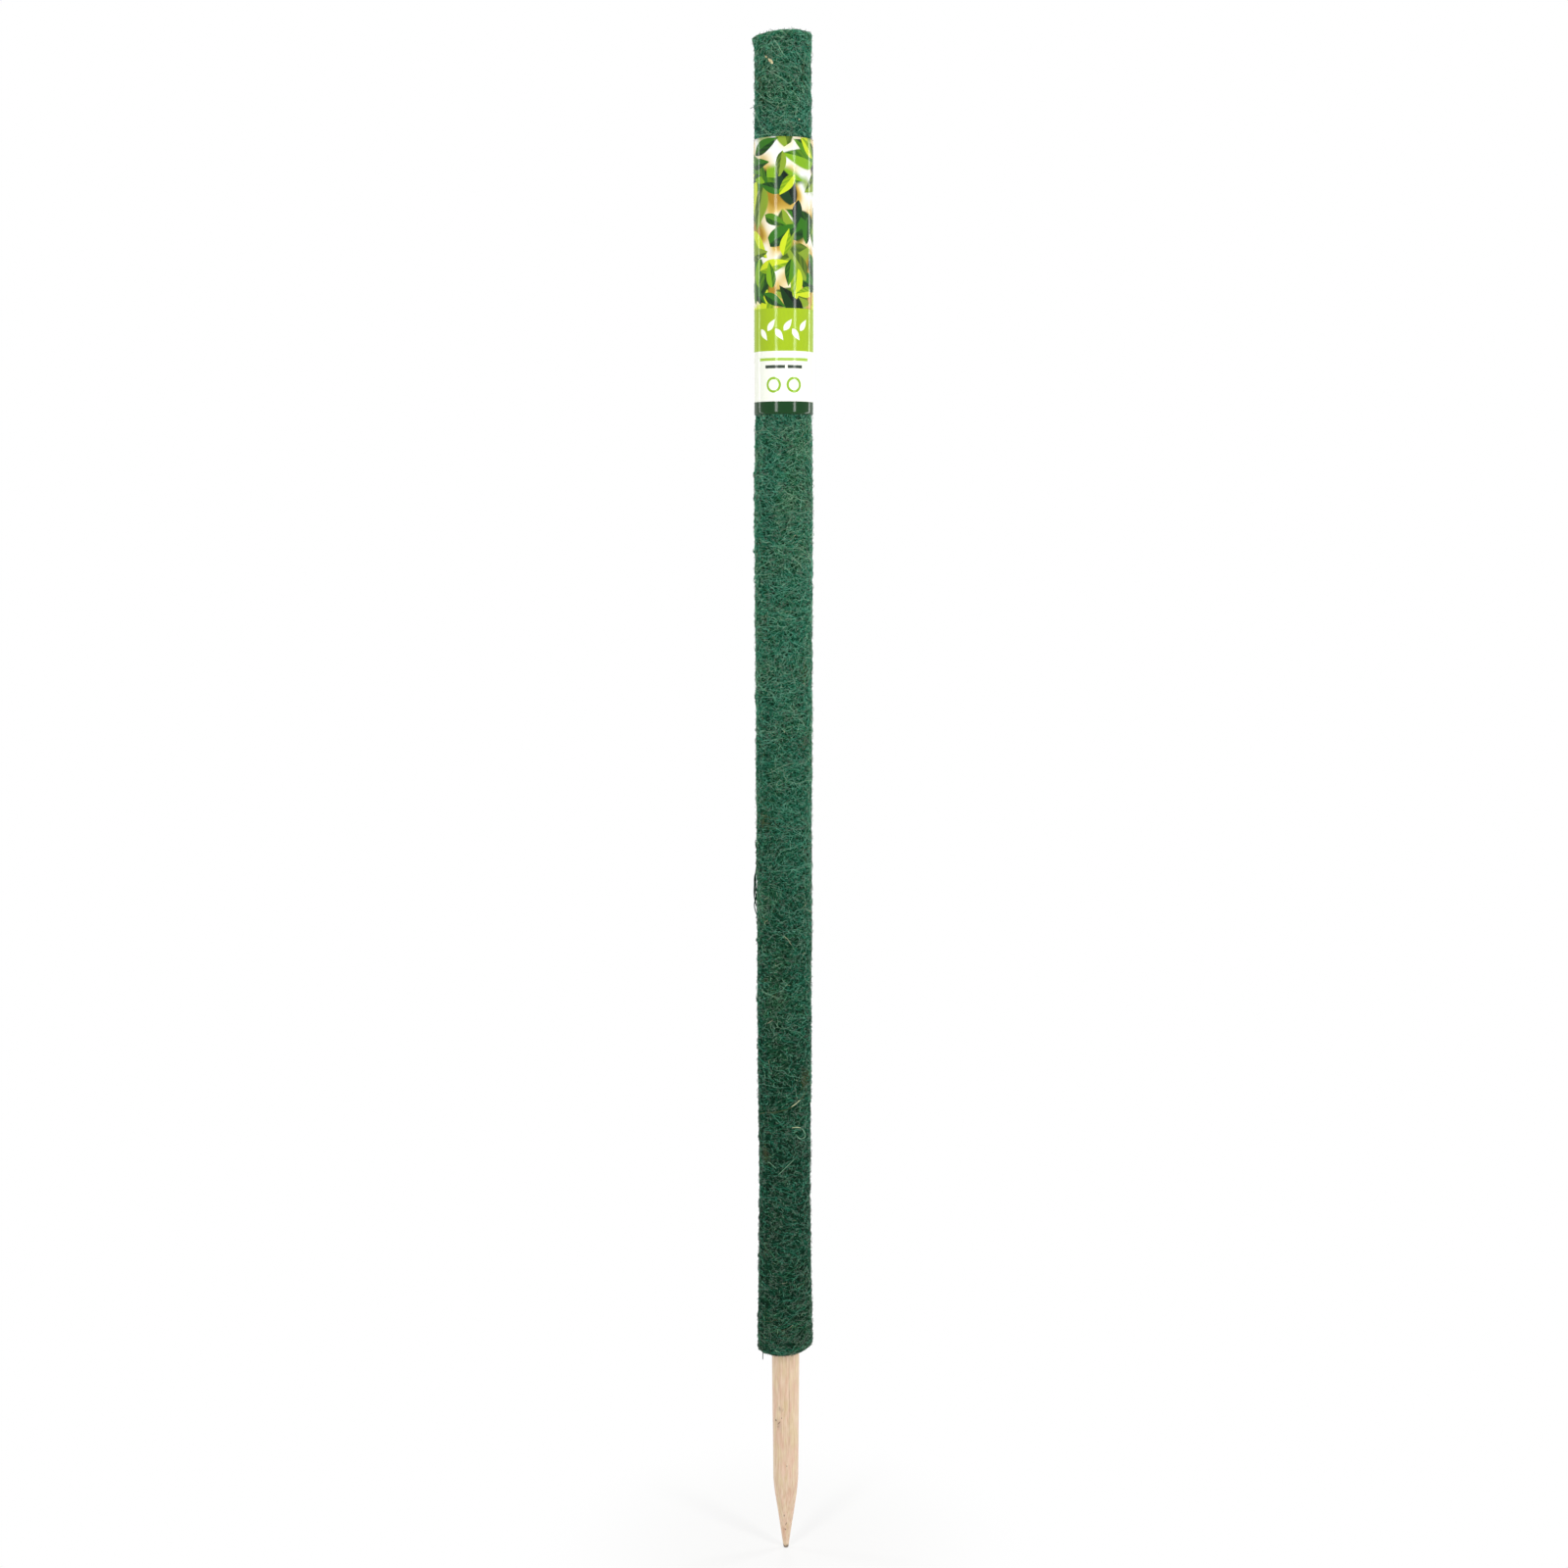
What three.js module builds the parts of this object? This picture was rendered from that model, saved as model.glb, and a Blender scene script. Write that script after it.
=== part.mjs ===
// Moss pole: a sheet of green coir matting rolled twice round a sharpened wooden stake and held by two lines
// of glue, with a printed film sleeve near the upper end.
// Millimetres, +Z up. The origin is on the stake's axis at the mat's lower edge, which is the soil line once
// the bare end of the stake is pushed in. The front is -Y.

import * as THREE from 'three';

// Stake
const stakeRadius = 10.2;
const stakeBareLength = 174; // from the mat's lower edge down to the tip
const pointLength = 64; // from the tip up to the full round
const shoulderLength = 18; // the rounded upper stretch of the point
const shoulderRadius = 8.6; // where the rounded stretch starts
const tipRadius = 2.2;
const stakeTopDepth = 8; // from the mat's rim down to the stake's sawn end
const stakeChamfer = 1;

// Rolled mat: radii are those of its outer face away from the lapped seam
const matLength = 1026;
const sleeveSeatRadius = 20.9; // under the sleeve, and the rim that the sleeve has to pass
const neckRadius = 20.5; // just below the flared rim
const neckDepth = 26; // from the rim down to the neck
const lowerGirths = [ // share of the way from the lower edge to the sleeve, radius there
  [0.04, 21.9],
  [0.19, 20.2],
  [0.34, 20.8],
  [0.58, 21.3],
  [0.77, 21.3],
  [0.9, 21.8],
];
const lowerEdgeRound = 4;
const rimRound = 2.5;
const rollGap = 0.4; // between one turn and the next
const edgeThickness = 0.7; // of the feathered long edges of the sheet
const featherLength = 9; // over which an edge thins, which is also the lap of the free edge
const climbLength = 5; // over which a turn climbs onto the sheet's first edge
const seamTurn = THREE.MathUtils.degToRad(226); // place of the free edge, 44 degrees left of the front

// Glue lines
const glueThickness = 0.3;
const glueWidth = 5; // less than the lap that it lies in
const glueEndMargin = 40; // bare stretch at each end of the mat

// Film sleeve
const sleeveHeight = 205;
const sleeveTopDepth = 77; // from the mat's rim down to the sleeve's upper edge
const filmThickness = 0.3;
const lapWidth = 12; // of the closing lap at the back
const lapTurn = THREE.MathUtils.degToRad(90);

const seatClearance = 0.25; // between pieces that rest on each other
const sleeveClearance = 0.3; // between the sleeve and the seam's ridge

// Facets
const turnSteps = 24;
const climbSteps = 3;
const filmSteps = 48;
const stakeSteps = 32;

// Derived sizes
const fullTurn = 2 * Math.PI;
const glueBed = glueThickness + 2 * seatClearance;
const matInnerRadius = stakeRadius + glueBed;
const lapAngle = featherLength / sleeveSeatRadius;
const climbAngle = climbLength / matInnerRadius;
const rollAngle = 2 * fullTurn + lapAngle;
const seamRise = edgeThickness + glueBed; // height of the lapped seam over the rest of the mat
const sleeveInnerRadius = sleeveSeatRadius + seamRise + sleeveClearance;
const sleeveBottom = matLength - sleeveTopDepth - sleeveHeight;

const wood = new THREE.MeshStandardMaterial({ color: '#dcc1a5', roughness: 0.75, metalness: 0 });
const coir = new THREE.MeshStandardMaterial({ color: '#35654c', roughness: 0.95, metalness: 0 });
const stakeGlue = new THREE.MeshStandardMaterial({ color: '#e6dcc0', roughness: 0.4, metalness: 0 });
const seamGlue = stakeGlue.clone();
const film = new THREE.MeshStandardMaterial({ color: '#c3cf6a', roughness: 0.15, metalness: 0 });

// 0 before start, 1 after end, and a smooth rise between them
function rise(value, start, end) {
  return THREE.MathUtils.smoothstep(value, start, end);
}

function polar(radius, turn, height) {
  return new THREE.Vector3(radius * Math.cos(turn), radius * Math.sin(turn), height);
}

// A closed skin over a stack of loops that have as many points each and run anticlockwise seen from above
function loft(loops) {
  const count = loops[0].length;
  const indices = [];
  for (let level = 0; level + 1 < loops.length; level++) {
    for (let i = 0; i < count; i++) {
      const here = level * count + i;
      const next = level * count + ((i + 1) % count);
      indices.push(here, next, next + count, here, next + count, here + count);
    }
  }
  const cap = (loop) => THREE.ShapeUtils.triangulateShape(loop.map(({ x, y }) => new THREE.Vector2(x, y)), []);
  const top = (loops.length - 1) * count;
  cap(loops[0]).forEach(([a, b, c]) => indices.push(c, b, a));
  cap(loops.at(-1)).forEach(([a, b, c]) => indices.push(top + a, top + b, top + c));
  const geometry = new THREE.BufferGeometry().setFromPoints(loops.flat());
  geometry.setIndex(indices);
  geometry.computeVertexNormals();
  return geometry;
}

// Stake: a blunt tip, a straight point with a rounded shoulder, the round and the chamfered sawn end
function stakeGeometry() {
  const tip = -stakeBareLength;
  const top = matLength - stakeTopDepth;
  const profile = new THREE.Path();
  profile.moveTo(0, tip);
  profile.lineTo(tipRadius / 2, tip);
  profile.quadraticCurveTo(tipRadius, tip, tipRadius, tip + tipRadius);
  profile.lineTo(shoulderRadius, tip + pointLength - shoulderLength);
  profile.quadraticCurveTo(stakeRadius, tip + pointLength - shoulderLength / 3, stakeRadius, tip + pointLength);
  profile.lineTo(stakeRadius, top - stakeChamfer);
  profile.lineTo(stakeRadius - stakeChamfer, top);
  profile.lineTo(0, top);
  const geometry = new THREE.LatheGeometry(profile.getPoints(4), stakeSteps);
  geometry.rotateX(Math.PI / 2);
  return geometry;
}

// The mat's girth up its length: a rounded lower edge, the swells and the waist, the neck and the rounded rim
function matStations() {
  const edgeTurns = [0, 0.3, 0.6, 1].map((share) => share * Math.PI / 2);
  const bottomRadius = lowerGirths[0][1];
  const lowerEdge = edgeTurns.map((turn) => ({
    height: lowerEdgeRound * (1 - Math.cos(turn)),
    radius: bottomRadius - lowerEdgeRound * (1 - Math.sin(turn)),
  }));
  const swells = lowerGirths.map(([share, radius]) => ({ height: share * sleeveBottom, radius }));
  const seat = [
    { height: sleeveBottom, radius: sleeveSeatRadius },
    { height: sleeveBottom + sleeveHeight, radius: sleeveSeatRadius },
    { height: matLength - neckDepth, radius: neckRadius },
  ];
  const rim = edgeTurns.toReversed().map((turn) => ({
    height: matLength - rimRound * (1 - Math.cos(turn)),
    radius: sleeveSeatRadius - rimRound * (1 - Math.sin(turn)),
  }));
  return [...lowerEdge, ...swells, ...seat, ...rim];
}

// The roll where the mat's outer radius is given: the radii of the sheet's two faces at an angle along it
function rollFaces(outerRadius) {
  const fullThickness = (outerRadius - matInnerRadius - rollGap) / 2;
  const thickness = (along) => {
    const fullness = Math.min(rise(along, 0, lapAngle), rise(rollAngle - along, 0, lapAngle));
    return THREE.MathUtils.lerp(edgeThickness, fullThickness, fullness);
  };
  const bed = (along) => {
    const onSeam = rise(along, 2 * fullTurn - climbAngle, 2 * fullTurn);
    return THREE.MathUtils.lerp(rollGap, glueBed, onSeam);
  };
  const inner = (along) => {
    if (along < fullTurn) {
      const climb = rise(along, fullTurn - climbAngle, fullTurn);
      return matInnerRadius + climb * (edgeThickness + rollGap);
    }
    return outer(along - fullTurn) + bed(along);
  };
  const outer = (along) => inner(along) + thickness(along);
  return { inner, outer };
}

const seamStart = seamTurn - lapAngle; // where the sheet's first edge lies on the stake

function evenSteps(start, end, steps) {
  return Array.from({ length: steps }, (_, i) => THREE.MathUtils.lerp(start, end, i / steps));
}

// Angles across a glue line that lies in the middle of the lap
function glueAngles() {
  const halfWidth = glueWidth / sleeveSeatRadius / 2;
  return [-1, 0, 1].map((share) => lapAngle / 2 + share * halfWidth);
}

// Angles along the roll: the same in each turn, so that the facets of one turn lie over those of the last
function rollAngles() {
  const lap = [0, ...glueAngles()];
  const turn = [
    ...lap,
    ...evenSteps(lapAngle, fullTurn - climbAngle, turnSteps),
    ...evenSteps(fullTurn - climbAngle, fullTurn, climbSteps),
  ];
  const secondTurn = turn.map((along) => along + fullTurn);
  const freeEdge = [...lap, lapAngle].map((along) => along + 2 * fullTurn);
  return [...turn, ...secondTurn, ...freeEdge];
}

function matGeometry() {
  const angles = rollAngles();
  const loops = matStations().map(({ height, radius }) => {
    const faces = rollFaces(radius);
    const outside = angles.map((along) => polar(faces.outer(along), seamStart + along, height));
    const inside = angles.toReversed().map((along) => polar(faces.inner(along), seamStart + along, height));
    return [...outside, ...inside];
  });
  return loft(loops);
}

// A thin strip on a face, whose radius at an angle is given for each station of the mat
function glueGeometry(stations, faceRadius) {
  const angles = glueAngles();
  const loops = stations.map((station) => {
    const low = (along) => faceRadius(station, along) + seatClearance;
    const outside = angles.map((along) => polar(low(along) + glueThickness, seamStart + along, station.height));
    const inside = angles.toReversed().map((along) => polar(low(along), seamStart + along, station.height));
    return [...outside, ...inside];
  });
  return loft(loops);
}

function stakeGlueGeometry() {
  const ends = [glueEndMargin, matLength - glueEndMargin];
  const stations = ends.map((height) => ({ height }));
  return glueGeometry(stations, () => stakeRadius);
}

function seamGlueGeometry() {
  const stations = matStations().filter(({ height }) => (
    height > lowerEdgeRound && height < matLength - rimRound
  ));
  const face = ({ radius }, along) => rollFaces(radius).outer(along + fullTurn);
  return glueGeometry(stations, face);
}

function arcPoints(radius, start, end, steps) {
  return Array.from({ length: steps + 1 }, (_, i) => {
    const turn = THREE.MathUtils.lerp(start, end, i / steps);
    return new THREE.Vector2(radius * Math.cos(turn), radius * Math.sin(turn));
  });
}

// Sleeve: a ring of film, twice as thick where its ends lap at the back
function sleeveGeometry() {
  const outerRadius = sleeveInnerRadius + filmThickness;
  const halfLap = lapWidth / outerRadius / 2;
  const section = new THREE.Shape([
    ...arcPoints(outerRadius, lapTurn + halfLap, lapTurn - halfLap + fullTurn, filmSteps),
    ...arcPoints(outerRadius + filmThickness, lapTurn - halfLap, lapTurn + halfLap, 4),
  ]);
  const bore = arcPoints(sleeveInnerRadius, lapTurn, lapTurn + fullTurn, filmSteps).slice(0, -1);
  section.holes.push(new THREE.Path(bore));
  const geometry = new THREE.ExtrudeGeometry(section, { depth: sleeveHeight, bevelEnabled: false });
  geometry.translate(0, 0, sleeveBottom);
  return geometry;
}

function piece(name, geometry, material) {
  const mesh = new THREE.Mesh(geometry, material);
  mesh.name = name;
  return mesh;
}

const mossPole = new THREE.Group();
mossPole.add(piece('stake', stakeGeometry(), wood));
mossPole.add(piece('coir_mat', matGeometry(), coir));
mossPole.add(piece('stake_glue_line', stakeGlueGeometry(), stakeGlue));
mossPole.add(piece('seam_glue_line', seamGlueGeometry(), seamGlue));
mossPole.add(piece('label_sleeve', sleeveGeometry(), film));

export default mossPole;
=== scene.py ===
"""Moss pole: a wooden stake in a roll of dyed coir felt, with a printed film sleeve near its upper end."""

import math
from collections import namedtuple

import bpy
import numpy as np
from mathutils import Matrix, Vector
from mathutils.bvhtree import BVHTree


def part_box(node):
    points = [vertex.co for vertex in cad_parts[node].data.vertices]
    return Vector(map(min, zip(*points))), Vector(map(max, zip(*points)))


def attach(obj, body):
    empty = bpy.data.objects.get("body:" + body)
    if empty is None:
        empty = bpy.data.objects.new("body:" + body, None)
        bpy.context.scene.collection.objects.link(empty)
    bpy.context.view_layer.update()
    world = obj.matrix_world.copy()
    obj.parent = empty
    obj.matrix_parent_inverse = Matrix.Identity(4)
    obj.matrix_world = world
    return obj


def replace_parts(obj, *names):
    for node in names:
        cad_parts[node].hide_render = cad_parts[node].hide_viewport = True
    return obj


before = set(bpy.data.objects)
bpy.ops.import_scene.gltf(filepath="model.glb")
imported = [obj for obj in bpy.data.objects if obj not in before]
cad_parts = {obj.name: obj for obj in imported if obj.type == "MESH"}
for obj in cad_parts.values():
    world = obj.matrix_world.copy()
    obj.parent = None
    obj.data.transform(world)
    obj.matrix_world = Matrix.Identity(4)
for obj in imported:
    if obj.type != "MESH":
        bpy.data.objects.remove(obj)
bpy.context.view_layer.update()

# Sizes are in mm. A turn is an angle round the pole, 0 at the front and positive to the right.
MM = 0.001
SEED = 8145

# View: a 50 mm lens level with the upper half of the pole, looking slightly down
CAMERA_DISTANCE = 1698
CAMERA_HEIGHT = 672
CAMERA_PITCH = -7.18  # degrees
CAMERA_ROLL = 0.11  # degrees
LENS = 50
SENSOR = 36

# Strip lights round the pole: turn in degrees, distance, width, lowest and highest point, radiance
STRIPS = {
    "left_front": (-29, 1500, 230, 150, 1650, 10),
    "right_front": (43, 1400, 210, 150, 1650, 10),
    "left_side": (-108, 1500, 110, 150, 1650, 7),
    "right_side": (117, 1500, 150, 150, 1650, 8),
    "left_foot": (-104, 1200, 180, -150, 400, 3),
    "right_foot": (108, 1200, 200, -150, 400, 7),
    "back": (180, 1900, 700, 150, 1650, 2.5),
}
ROOM_LIGHT = 0.3  # what the white room sends to matt surfaces
FLOOR_SIZE = 12000
FLOOR_SHADE = 0.25  # share of the floor's own shading that shows at the tip
FLOOR_SHADE_FADE = (22, 220)  # distances from the tip between which that ends

# Roll of coir felt
FACE_RADIUS = 21.3  # mean radius of the mat's outer face
FELT_DEPTH = 1.1  # from the tops of most fibres down to the dense felt
HAIR_ROOM = 0.3  # how far the face lies in under its stray hairs
HAIR_ROOM_FADE = (430, 620)  # heights between which that ends
FOOT_HAIR_ROOM = 0.7  # more of it near the foot, where they are densest
FOOT_HAIR_ROOM_FADE = (80, 260)
LUMPS = {9: 0.2, 26: 0.2, 70: 0.15}  # size of the swellings on the face, and how far they stand out
RIM_FLARE_LEFT = 2.2  # how far the rim opens out on each side
RIM_FLARE_RIGHT = 0.8
RIM_FLARE_REACH = 11
RIM_DROOP = 1.1  # how far the rim sinks at both sides
RIM_SKEW = 0.075  # slope of the rim, up to the right
LOWER_EDGE_SKEW = 0.05
LOWER_EDGE_ROUND = 1.2
LOWER_EDGE_SAG = 2.3  # how far the lower edge hangs down on its front left
LOWER_EDGE_SAG_TURN = -0.25  # radians
END_REACH = 60  # length over which the mat follows its cut ends
ROLL_INNER_RADIUS = 11.0
ROLL_GAP_RADIUS = 15.95  # middle of the gap between the two turns, at both ends
SEAM_TURN = math.radians(-46)  # where the free edge is glued down
RIGHT_BAND_TURN = math.radians(47)  # a second upright line of olive and brown fibre, on the right, like the one at the seam

# Kinds of coir fibre: number, lengths, thicknesses, curl in radians, and how many tones paler than the mat.
# Real fibres are 0.1 to 0.4 mm thick; these are drawn thicker, so that they show in the picture.
Fibres = namedtuple("Fibres", "count lengths thickness curl lightness")
FINE = Fibres(60000, (4, 9), (0.26, 0.38), 0.3, 0.0)
CRISP = Fibres(32000, (2, 4.5), (0.36, 0.46), 0.25, 0.0)
LONG = Fibres(2600, (6, 15), (0.36, 0.46), 0.4, 0.9)
HAIRS = Fibres(29000, (3, 7.5), (0.24, 0.38), 0.3, -0.4)
STRANDS = Fibres(1800, (10, 32), (0.26, 0.36), 0.25, 1.6)
TUFTED = Fibres(900, (3, 9), (0.36, 0.6), 0.5, -1.2)
EDGING = Fibres(520, (7, 16), (0.36, 0.55), 0.12, -0.2)
CUT = Fibres(200, (5, 9), (0.3, 0.48), 0.1, -0.8)
END_FACE = Fibres(620, (6, 16), (0.4, 0.65), 0.5, -0.5)
# The recess fibres are drawn darker than the face's: painted shade for the hollow above the stake
RECESS = Fibres(130, (6, 14), (0.3, 0.45), 0.5, -0.7)
FIBRE_SIDES = 3
FIBRE_STEPS = 4  # straight parts of a fibre, and of the longer strands
LEVEL_STEPS = 12
LAID_STEPS = 26
FACE_PIECES = 16  # the face's fibres are joined in this many pieces, one above the other
HAIR_PIECES = 4

# Film sleeve, measured up from its lower edge
FILM_THICKNESS = 0.15
FILM_LET_IN = 0.12  # how far the film's waves lie inside the CAD sleeve
FILM_DEPTH = 0.3  # about how far the film's inner face lies inside the CAD sleeve's outer one
FILM_ROOM = 0.25  # kept free between the fibres and the film
FILM_LAP = 12
HEM_TOP = 9
PANEL_TOP = 47
BAND_TOP = 79

# Stake
POINT_LENGTH = 64
STAKE_SWELL = 0.85  # how much the bare end widens from its point up to the mat
RING_WIDTH = 2.4


def linear(hex_colour):
    """An sRGB hex colour as linear RGBA."""
    channels = [int(hex_colour[i:i + 2], 16) / 255 for i in (1, 3, 5)]
    return [c / 12.92 if c <= 0.04045 else ((c + 0.055) / 1.055) ** 2.4 for c in channels] + [1]


def add(tree, kind, inputs=None, stops=None, **settings):
    """Adds a node of a kind, given without its ShaderNode prefix. Settings are its properties, and stops are
    the places and colours of its ramp. Inputs are values, sockets or nodes, by socket name or number."""
    made = tree.nodes.new(kind if kind.startswith("NodeGroup") else f"ShaderNode{kind}")
    for name, value in settings.items():
        setattr(made, name, value)
    for key, value in (inputs or {}).items():
        named = [socket for socket in made.inputs if socket.enabled and socket.name == key]
        socket = named[0] if named else made.inputs[key]
        if isinstance(value, bpy.types.Node):
            value = next(output for output in value.outputs if output.enabled)
        if isinstance(value, bpy.types.NodeSocket):
            tree.links.new(value, socket)
        else:
            socket.default_value = linear(value) if isinstance(value, str) else value
    if stops:
        elements = made.color_ramp.elements
        while len(elements) < len(stops):
            elements.new(1)
        for element, (position, colour) in zip(elements, stops):
            element.position = position
            element.color = linear(colour)
    return made


def new_material(name):
    """A material with an empty node tree."""
    material = bpy.data.materials.new(name)
    material.use_nodes = True
    material.node_tree.nodes.clear()
    return material, material.node_tree


def per_mm(size):
    """Scale at which a pattern over object coordinates repeats about every size mm."""
    return 1 / (size * MM)


def rise(value, start, end):
    """0 before start, 1 after end and a smooth rise between them."""
    share = np.clip((value - start) / (end - start), 0, 1)
    return share * share * (3 - 2 * share)


def node_heights(node):
    """Lowest and highest point of a CAD node."""
    low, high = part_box(node)
    return low[2] / MM, high[2] / MM


stake_low, stake_high = node_heights("stake")
mat_low, mat_high = node_heights("coir_mat")
sleeve_low, sleeve_high = node_heights("label_sleeve")
sleeve_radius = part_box("label_sleeve")[1][0] / MM
mat_height = mat_high - mat_low
sleeve_height = sleeve_high - sleeve_low


def measured_radii(node, turns, heights):
    """Radii at which rays from outside meet a CAD node, at turns and heights of one shape."""
    tree = BVHTree.FromObject(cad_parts[node], bpy.context.evaluated_depsgraph_get())
    outside = 100 * MM
    radii = np.zeros(turns.shape)
    for index in np.ndindex(turns.shape):
        away = Vector((math.sin(turns[index]), -math.cos(turns[index]), 0))
        start = away * outside + Vector((0, 0, heights[index] * MM))
        hit = tree.ray_cast(start, -away)[0]
        radii[index] = math.hypot(hit.x, hit.y) / MM
    return radii


def piece_from(mesh, body):
    """A piece for a mesh in place, on a body."""
    piece = bpy.data.objects.new(mesh.name, mesh)
    bpy.context.scene.collection.objects.link(piece)
    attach(piece, body)
    return piece


def mesh_from(name, points, faces, materials, shades=None):
    """A smooth mesh from points in mm and arrays of faces, each array with its own number of corners."""
    mesh = bpy.data.meshes.new(name)
    corners = np.concatenate([array.ravel() for array in faces]).astype(np.int32)
    sizes = np.concatenate([np.full(len(array), array.shape[1]) for array in faces])
    starts = np.concatenate([[0], np.cumsum(sizes)[:-1]]).astype(np.int32)
    mesh.vertices.add(len(points))
    mesh.loops.add(len(corners))
    mesh.polygons.add(len(sizes))
    mesh.vertices.foreach_set("co", (points * MM).astype(np.float32).ravel())
    mesh.loops.foreach_set("vertex_index", corners)
    mesh.polygons.foreach_set("loop_start", starts)
    mesh.polygons.foreach_set("use_smooth", np.full(len(sizes), True))
    for material in materials:
        mesh.materials.append(material)
    if shades is not None:
        mesh.polygons.foreach_set("material_index", shades.astype(np.int32))
    mesh.update(calc_edges=True)
    return mesh


# Materials

# Coconut fibre, retted, dyed green and needled to felt. The dye takes unevenly, so fibres next to each other
# differ: bluish and yellowish greens from deep to pale, and a few that stayed grey, olive, brown or straw.
FIBRE_SHADES = {
    "teal_deep": "#072e1f",
    "teal_dark": "#12523c",
    "teal_mid": "#28795c",
    "teal_light": "#4aa182",
    "teal_pale": "#7ec2a4",
    "leaf_deep": "#0d301c",
    "leaf_dark": "#1e5538",
    "leaf_mid": "#377b55",
    "leaf_light": "#5fa37a",
    "leaf_pale": "#9ccba8",
    "grey": "#6d8474",
    "olive": "#5a6b48",
    "brown": "#52543e",
    "straw": "#dbdfb4",
}
SHADE_NAMES = list(FIBRE_SHADES)
GREEN_TONES = 5


def coir_fibres_dyed():
    """Dyed coconut fibre: a dull strand with a faint gloss, one material per shade."""
    materials = {}
    for name, colour in FIBRE_SHADES.items():
        material, tree = new_material(f"coir_fibre_dyed_{name}")
        shader = add(
            tree,
            "BsdfPrincipled",
            {"Base Color": colour, "Roughness": 0.6, "IOR": 1.5, "Specular IOR Level": 0.1},
        )
        add(tree, "OutputMaterial", {"Surface": shader})
        materials[name] = material
    return materials


def coir_felt_needled():
    """Needled felt under the loose fibres: matt, mottled and coloured far darker than the fibres as painted
    shade, which reads as depth between them.
    """
    material, tree = new_material("coir_felt_needled")
    place = add(tree, "TexCoord").outputs["Object"]
    mottle = add(tree, "TexNoise", {"Vector": place, "Scale": per_mm(9), "Detail": 3.0})
    strands = add(tree, "TexNoise", {"Vector": place, "Scale": per_mm(1.2), "Detail": 4.0})
    depth = add(tree, "Math", {0: mottle, 1: strands}, operation="MULTIPLY")
    # Painted shade: the ramp's near-black greens stand for the shade in the gaps between the loose fibres,
    # over the felt's own mottle
    colour = add(
        tree,
        "ValToRGB",
        {"Fac": depth},
        stops=[(0.12, "#081c12"), (0.24, "#0f2d1f"), (0.36, "#1b4430"), (0.46, "#2c402b")],
    )
    bump = add(tree, "Bump", {"Height": strands, "Strength": 0.7, "Distance": 0.4 * MM})
    shader = add(
        tree,
        "BsdfPrincipled",
        {"Base Color": colour, "Normal": bump, "Roughness": 0.95, "Specular IOR Level": 0.1},
    )
    add(tree, "OutputMaterial", {"Surface": shader})
    return material


def coir_husk_dry():
    """A dry flake of coconut husk caught in the felt: pale straw, rusty where it tore from the shell."""
    material, tree = new_material("coir_husk_dry")
    place = add(tree, "TexCoord").outputs["Object"]
    streaks = add(tree, "TexNoise", {"Vector": place, "Scale": per_mm(2.6), "Detail": 3.0})
    colour = add(
        tree,
        "ValToRGB",
        {"Fac": streaks},
        stops=[(0.36, "#a06a2c"), (0.45, "#d9c48c"), (0.62, "#eee2b8")],
    )
    shader = add(tree, "BsdfPrincipled", {"Base Color": colour, "Roughness": 0.7})
    add(tree, "OutputMaterial", {"Surface": shader})
    return material


PITH_OFFSET = (17, -23)  # from the middle of the year rings to the stake's axis
PITH_LEAN = (0.012, 0.017)  # radians
RING_SWAY = 5  # how far the rings stray from round, over this size
RING_SWAY_SIZE = 14
LENGTHWISE = 0.02  # scale along the stake of its rings and threads, which draws them out
RING_COLOURS = [(0, "#d7bb9f"), (0.45, "#d7b799"), (0.82, "#c59e7a"), (0.93, "#b48862"), (1, "#d7bb9f")]
# Threads of the grain, pores and blotches: scale along the stake, width, detail, colours, strength
WOOD_PATTERNS = [
    (LENGTHWISE, 0.7, 4.0, [(0.3, "#ad8766"), (0.45, "#dcc4aa"), (0.62, "#ebdac6")], 0.55),
    (0.12, 1.3, 2.0, [(0.36, "#bd9674"), (0.5, "#dac0a5"), (0.64, "#f0dfcb")], 0.4),
    (0.3, 4, 2.0, [(0.36, "#d9aa92"), (0.5, "#d9bc9e"), (0.64, "#d8c594")], 0.38),
]
# Marks on the stake's front: right of its axis, height, half width, half length, lean in degrees, strength
STAKE_MARKS = [
    (2.8, -45, 0.22, 52, 0, 0.4),
    (-5.4, -33, 0.35, 7, 0, 0.25),
    (-4.9, -51, 0.9, 2.6, 10, 0.25),
    (-2.2, -52, 0.3, 2.2, -8, 0.45),
    (-3.3, -59, 0.5, 0.9, 0, 0.6),
    (-7.9, -62, 0.8, 1.3, 0, 0.7),
    (-5.4, -63.5, 0.5, 2.4, -35, 0.6),
    (-6.2, -67, 1.6, 0.5, 20, 0.35),
    (-5.6, -65, 3.0, 6.5, 12, 0.16),
    (-4.6, -52, 2.4, 4.0, 0, 0.1),
    (0.8, -99.8, 0.5, 1.0, 0, 0.55),
    (-1.4, -144, 0.5, 1.4, 0, 0.75),
    (0.1, -151.5, 0.5, 2.2, -20, 0.6),
    (-0.5, -156.6, 0.7, 1.1, 30, 0.7),
]
SOIL_TOP = 3.5  # how far the soil reaches up the tip
SOIL_BASE = -0.6  # where its ragged edge starts, from the tip
SOIL_RAGGED = 5
SOIL_CRUMB = 1.5
SOIL_COVER = 0.85


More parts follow.
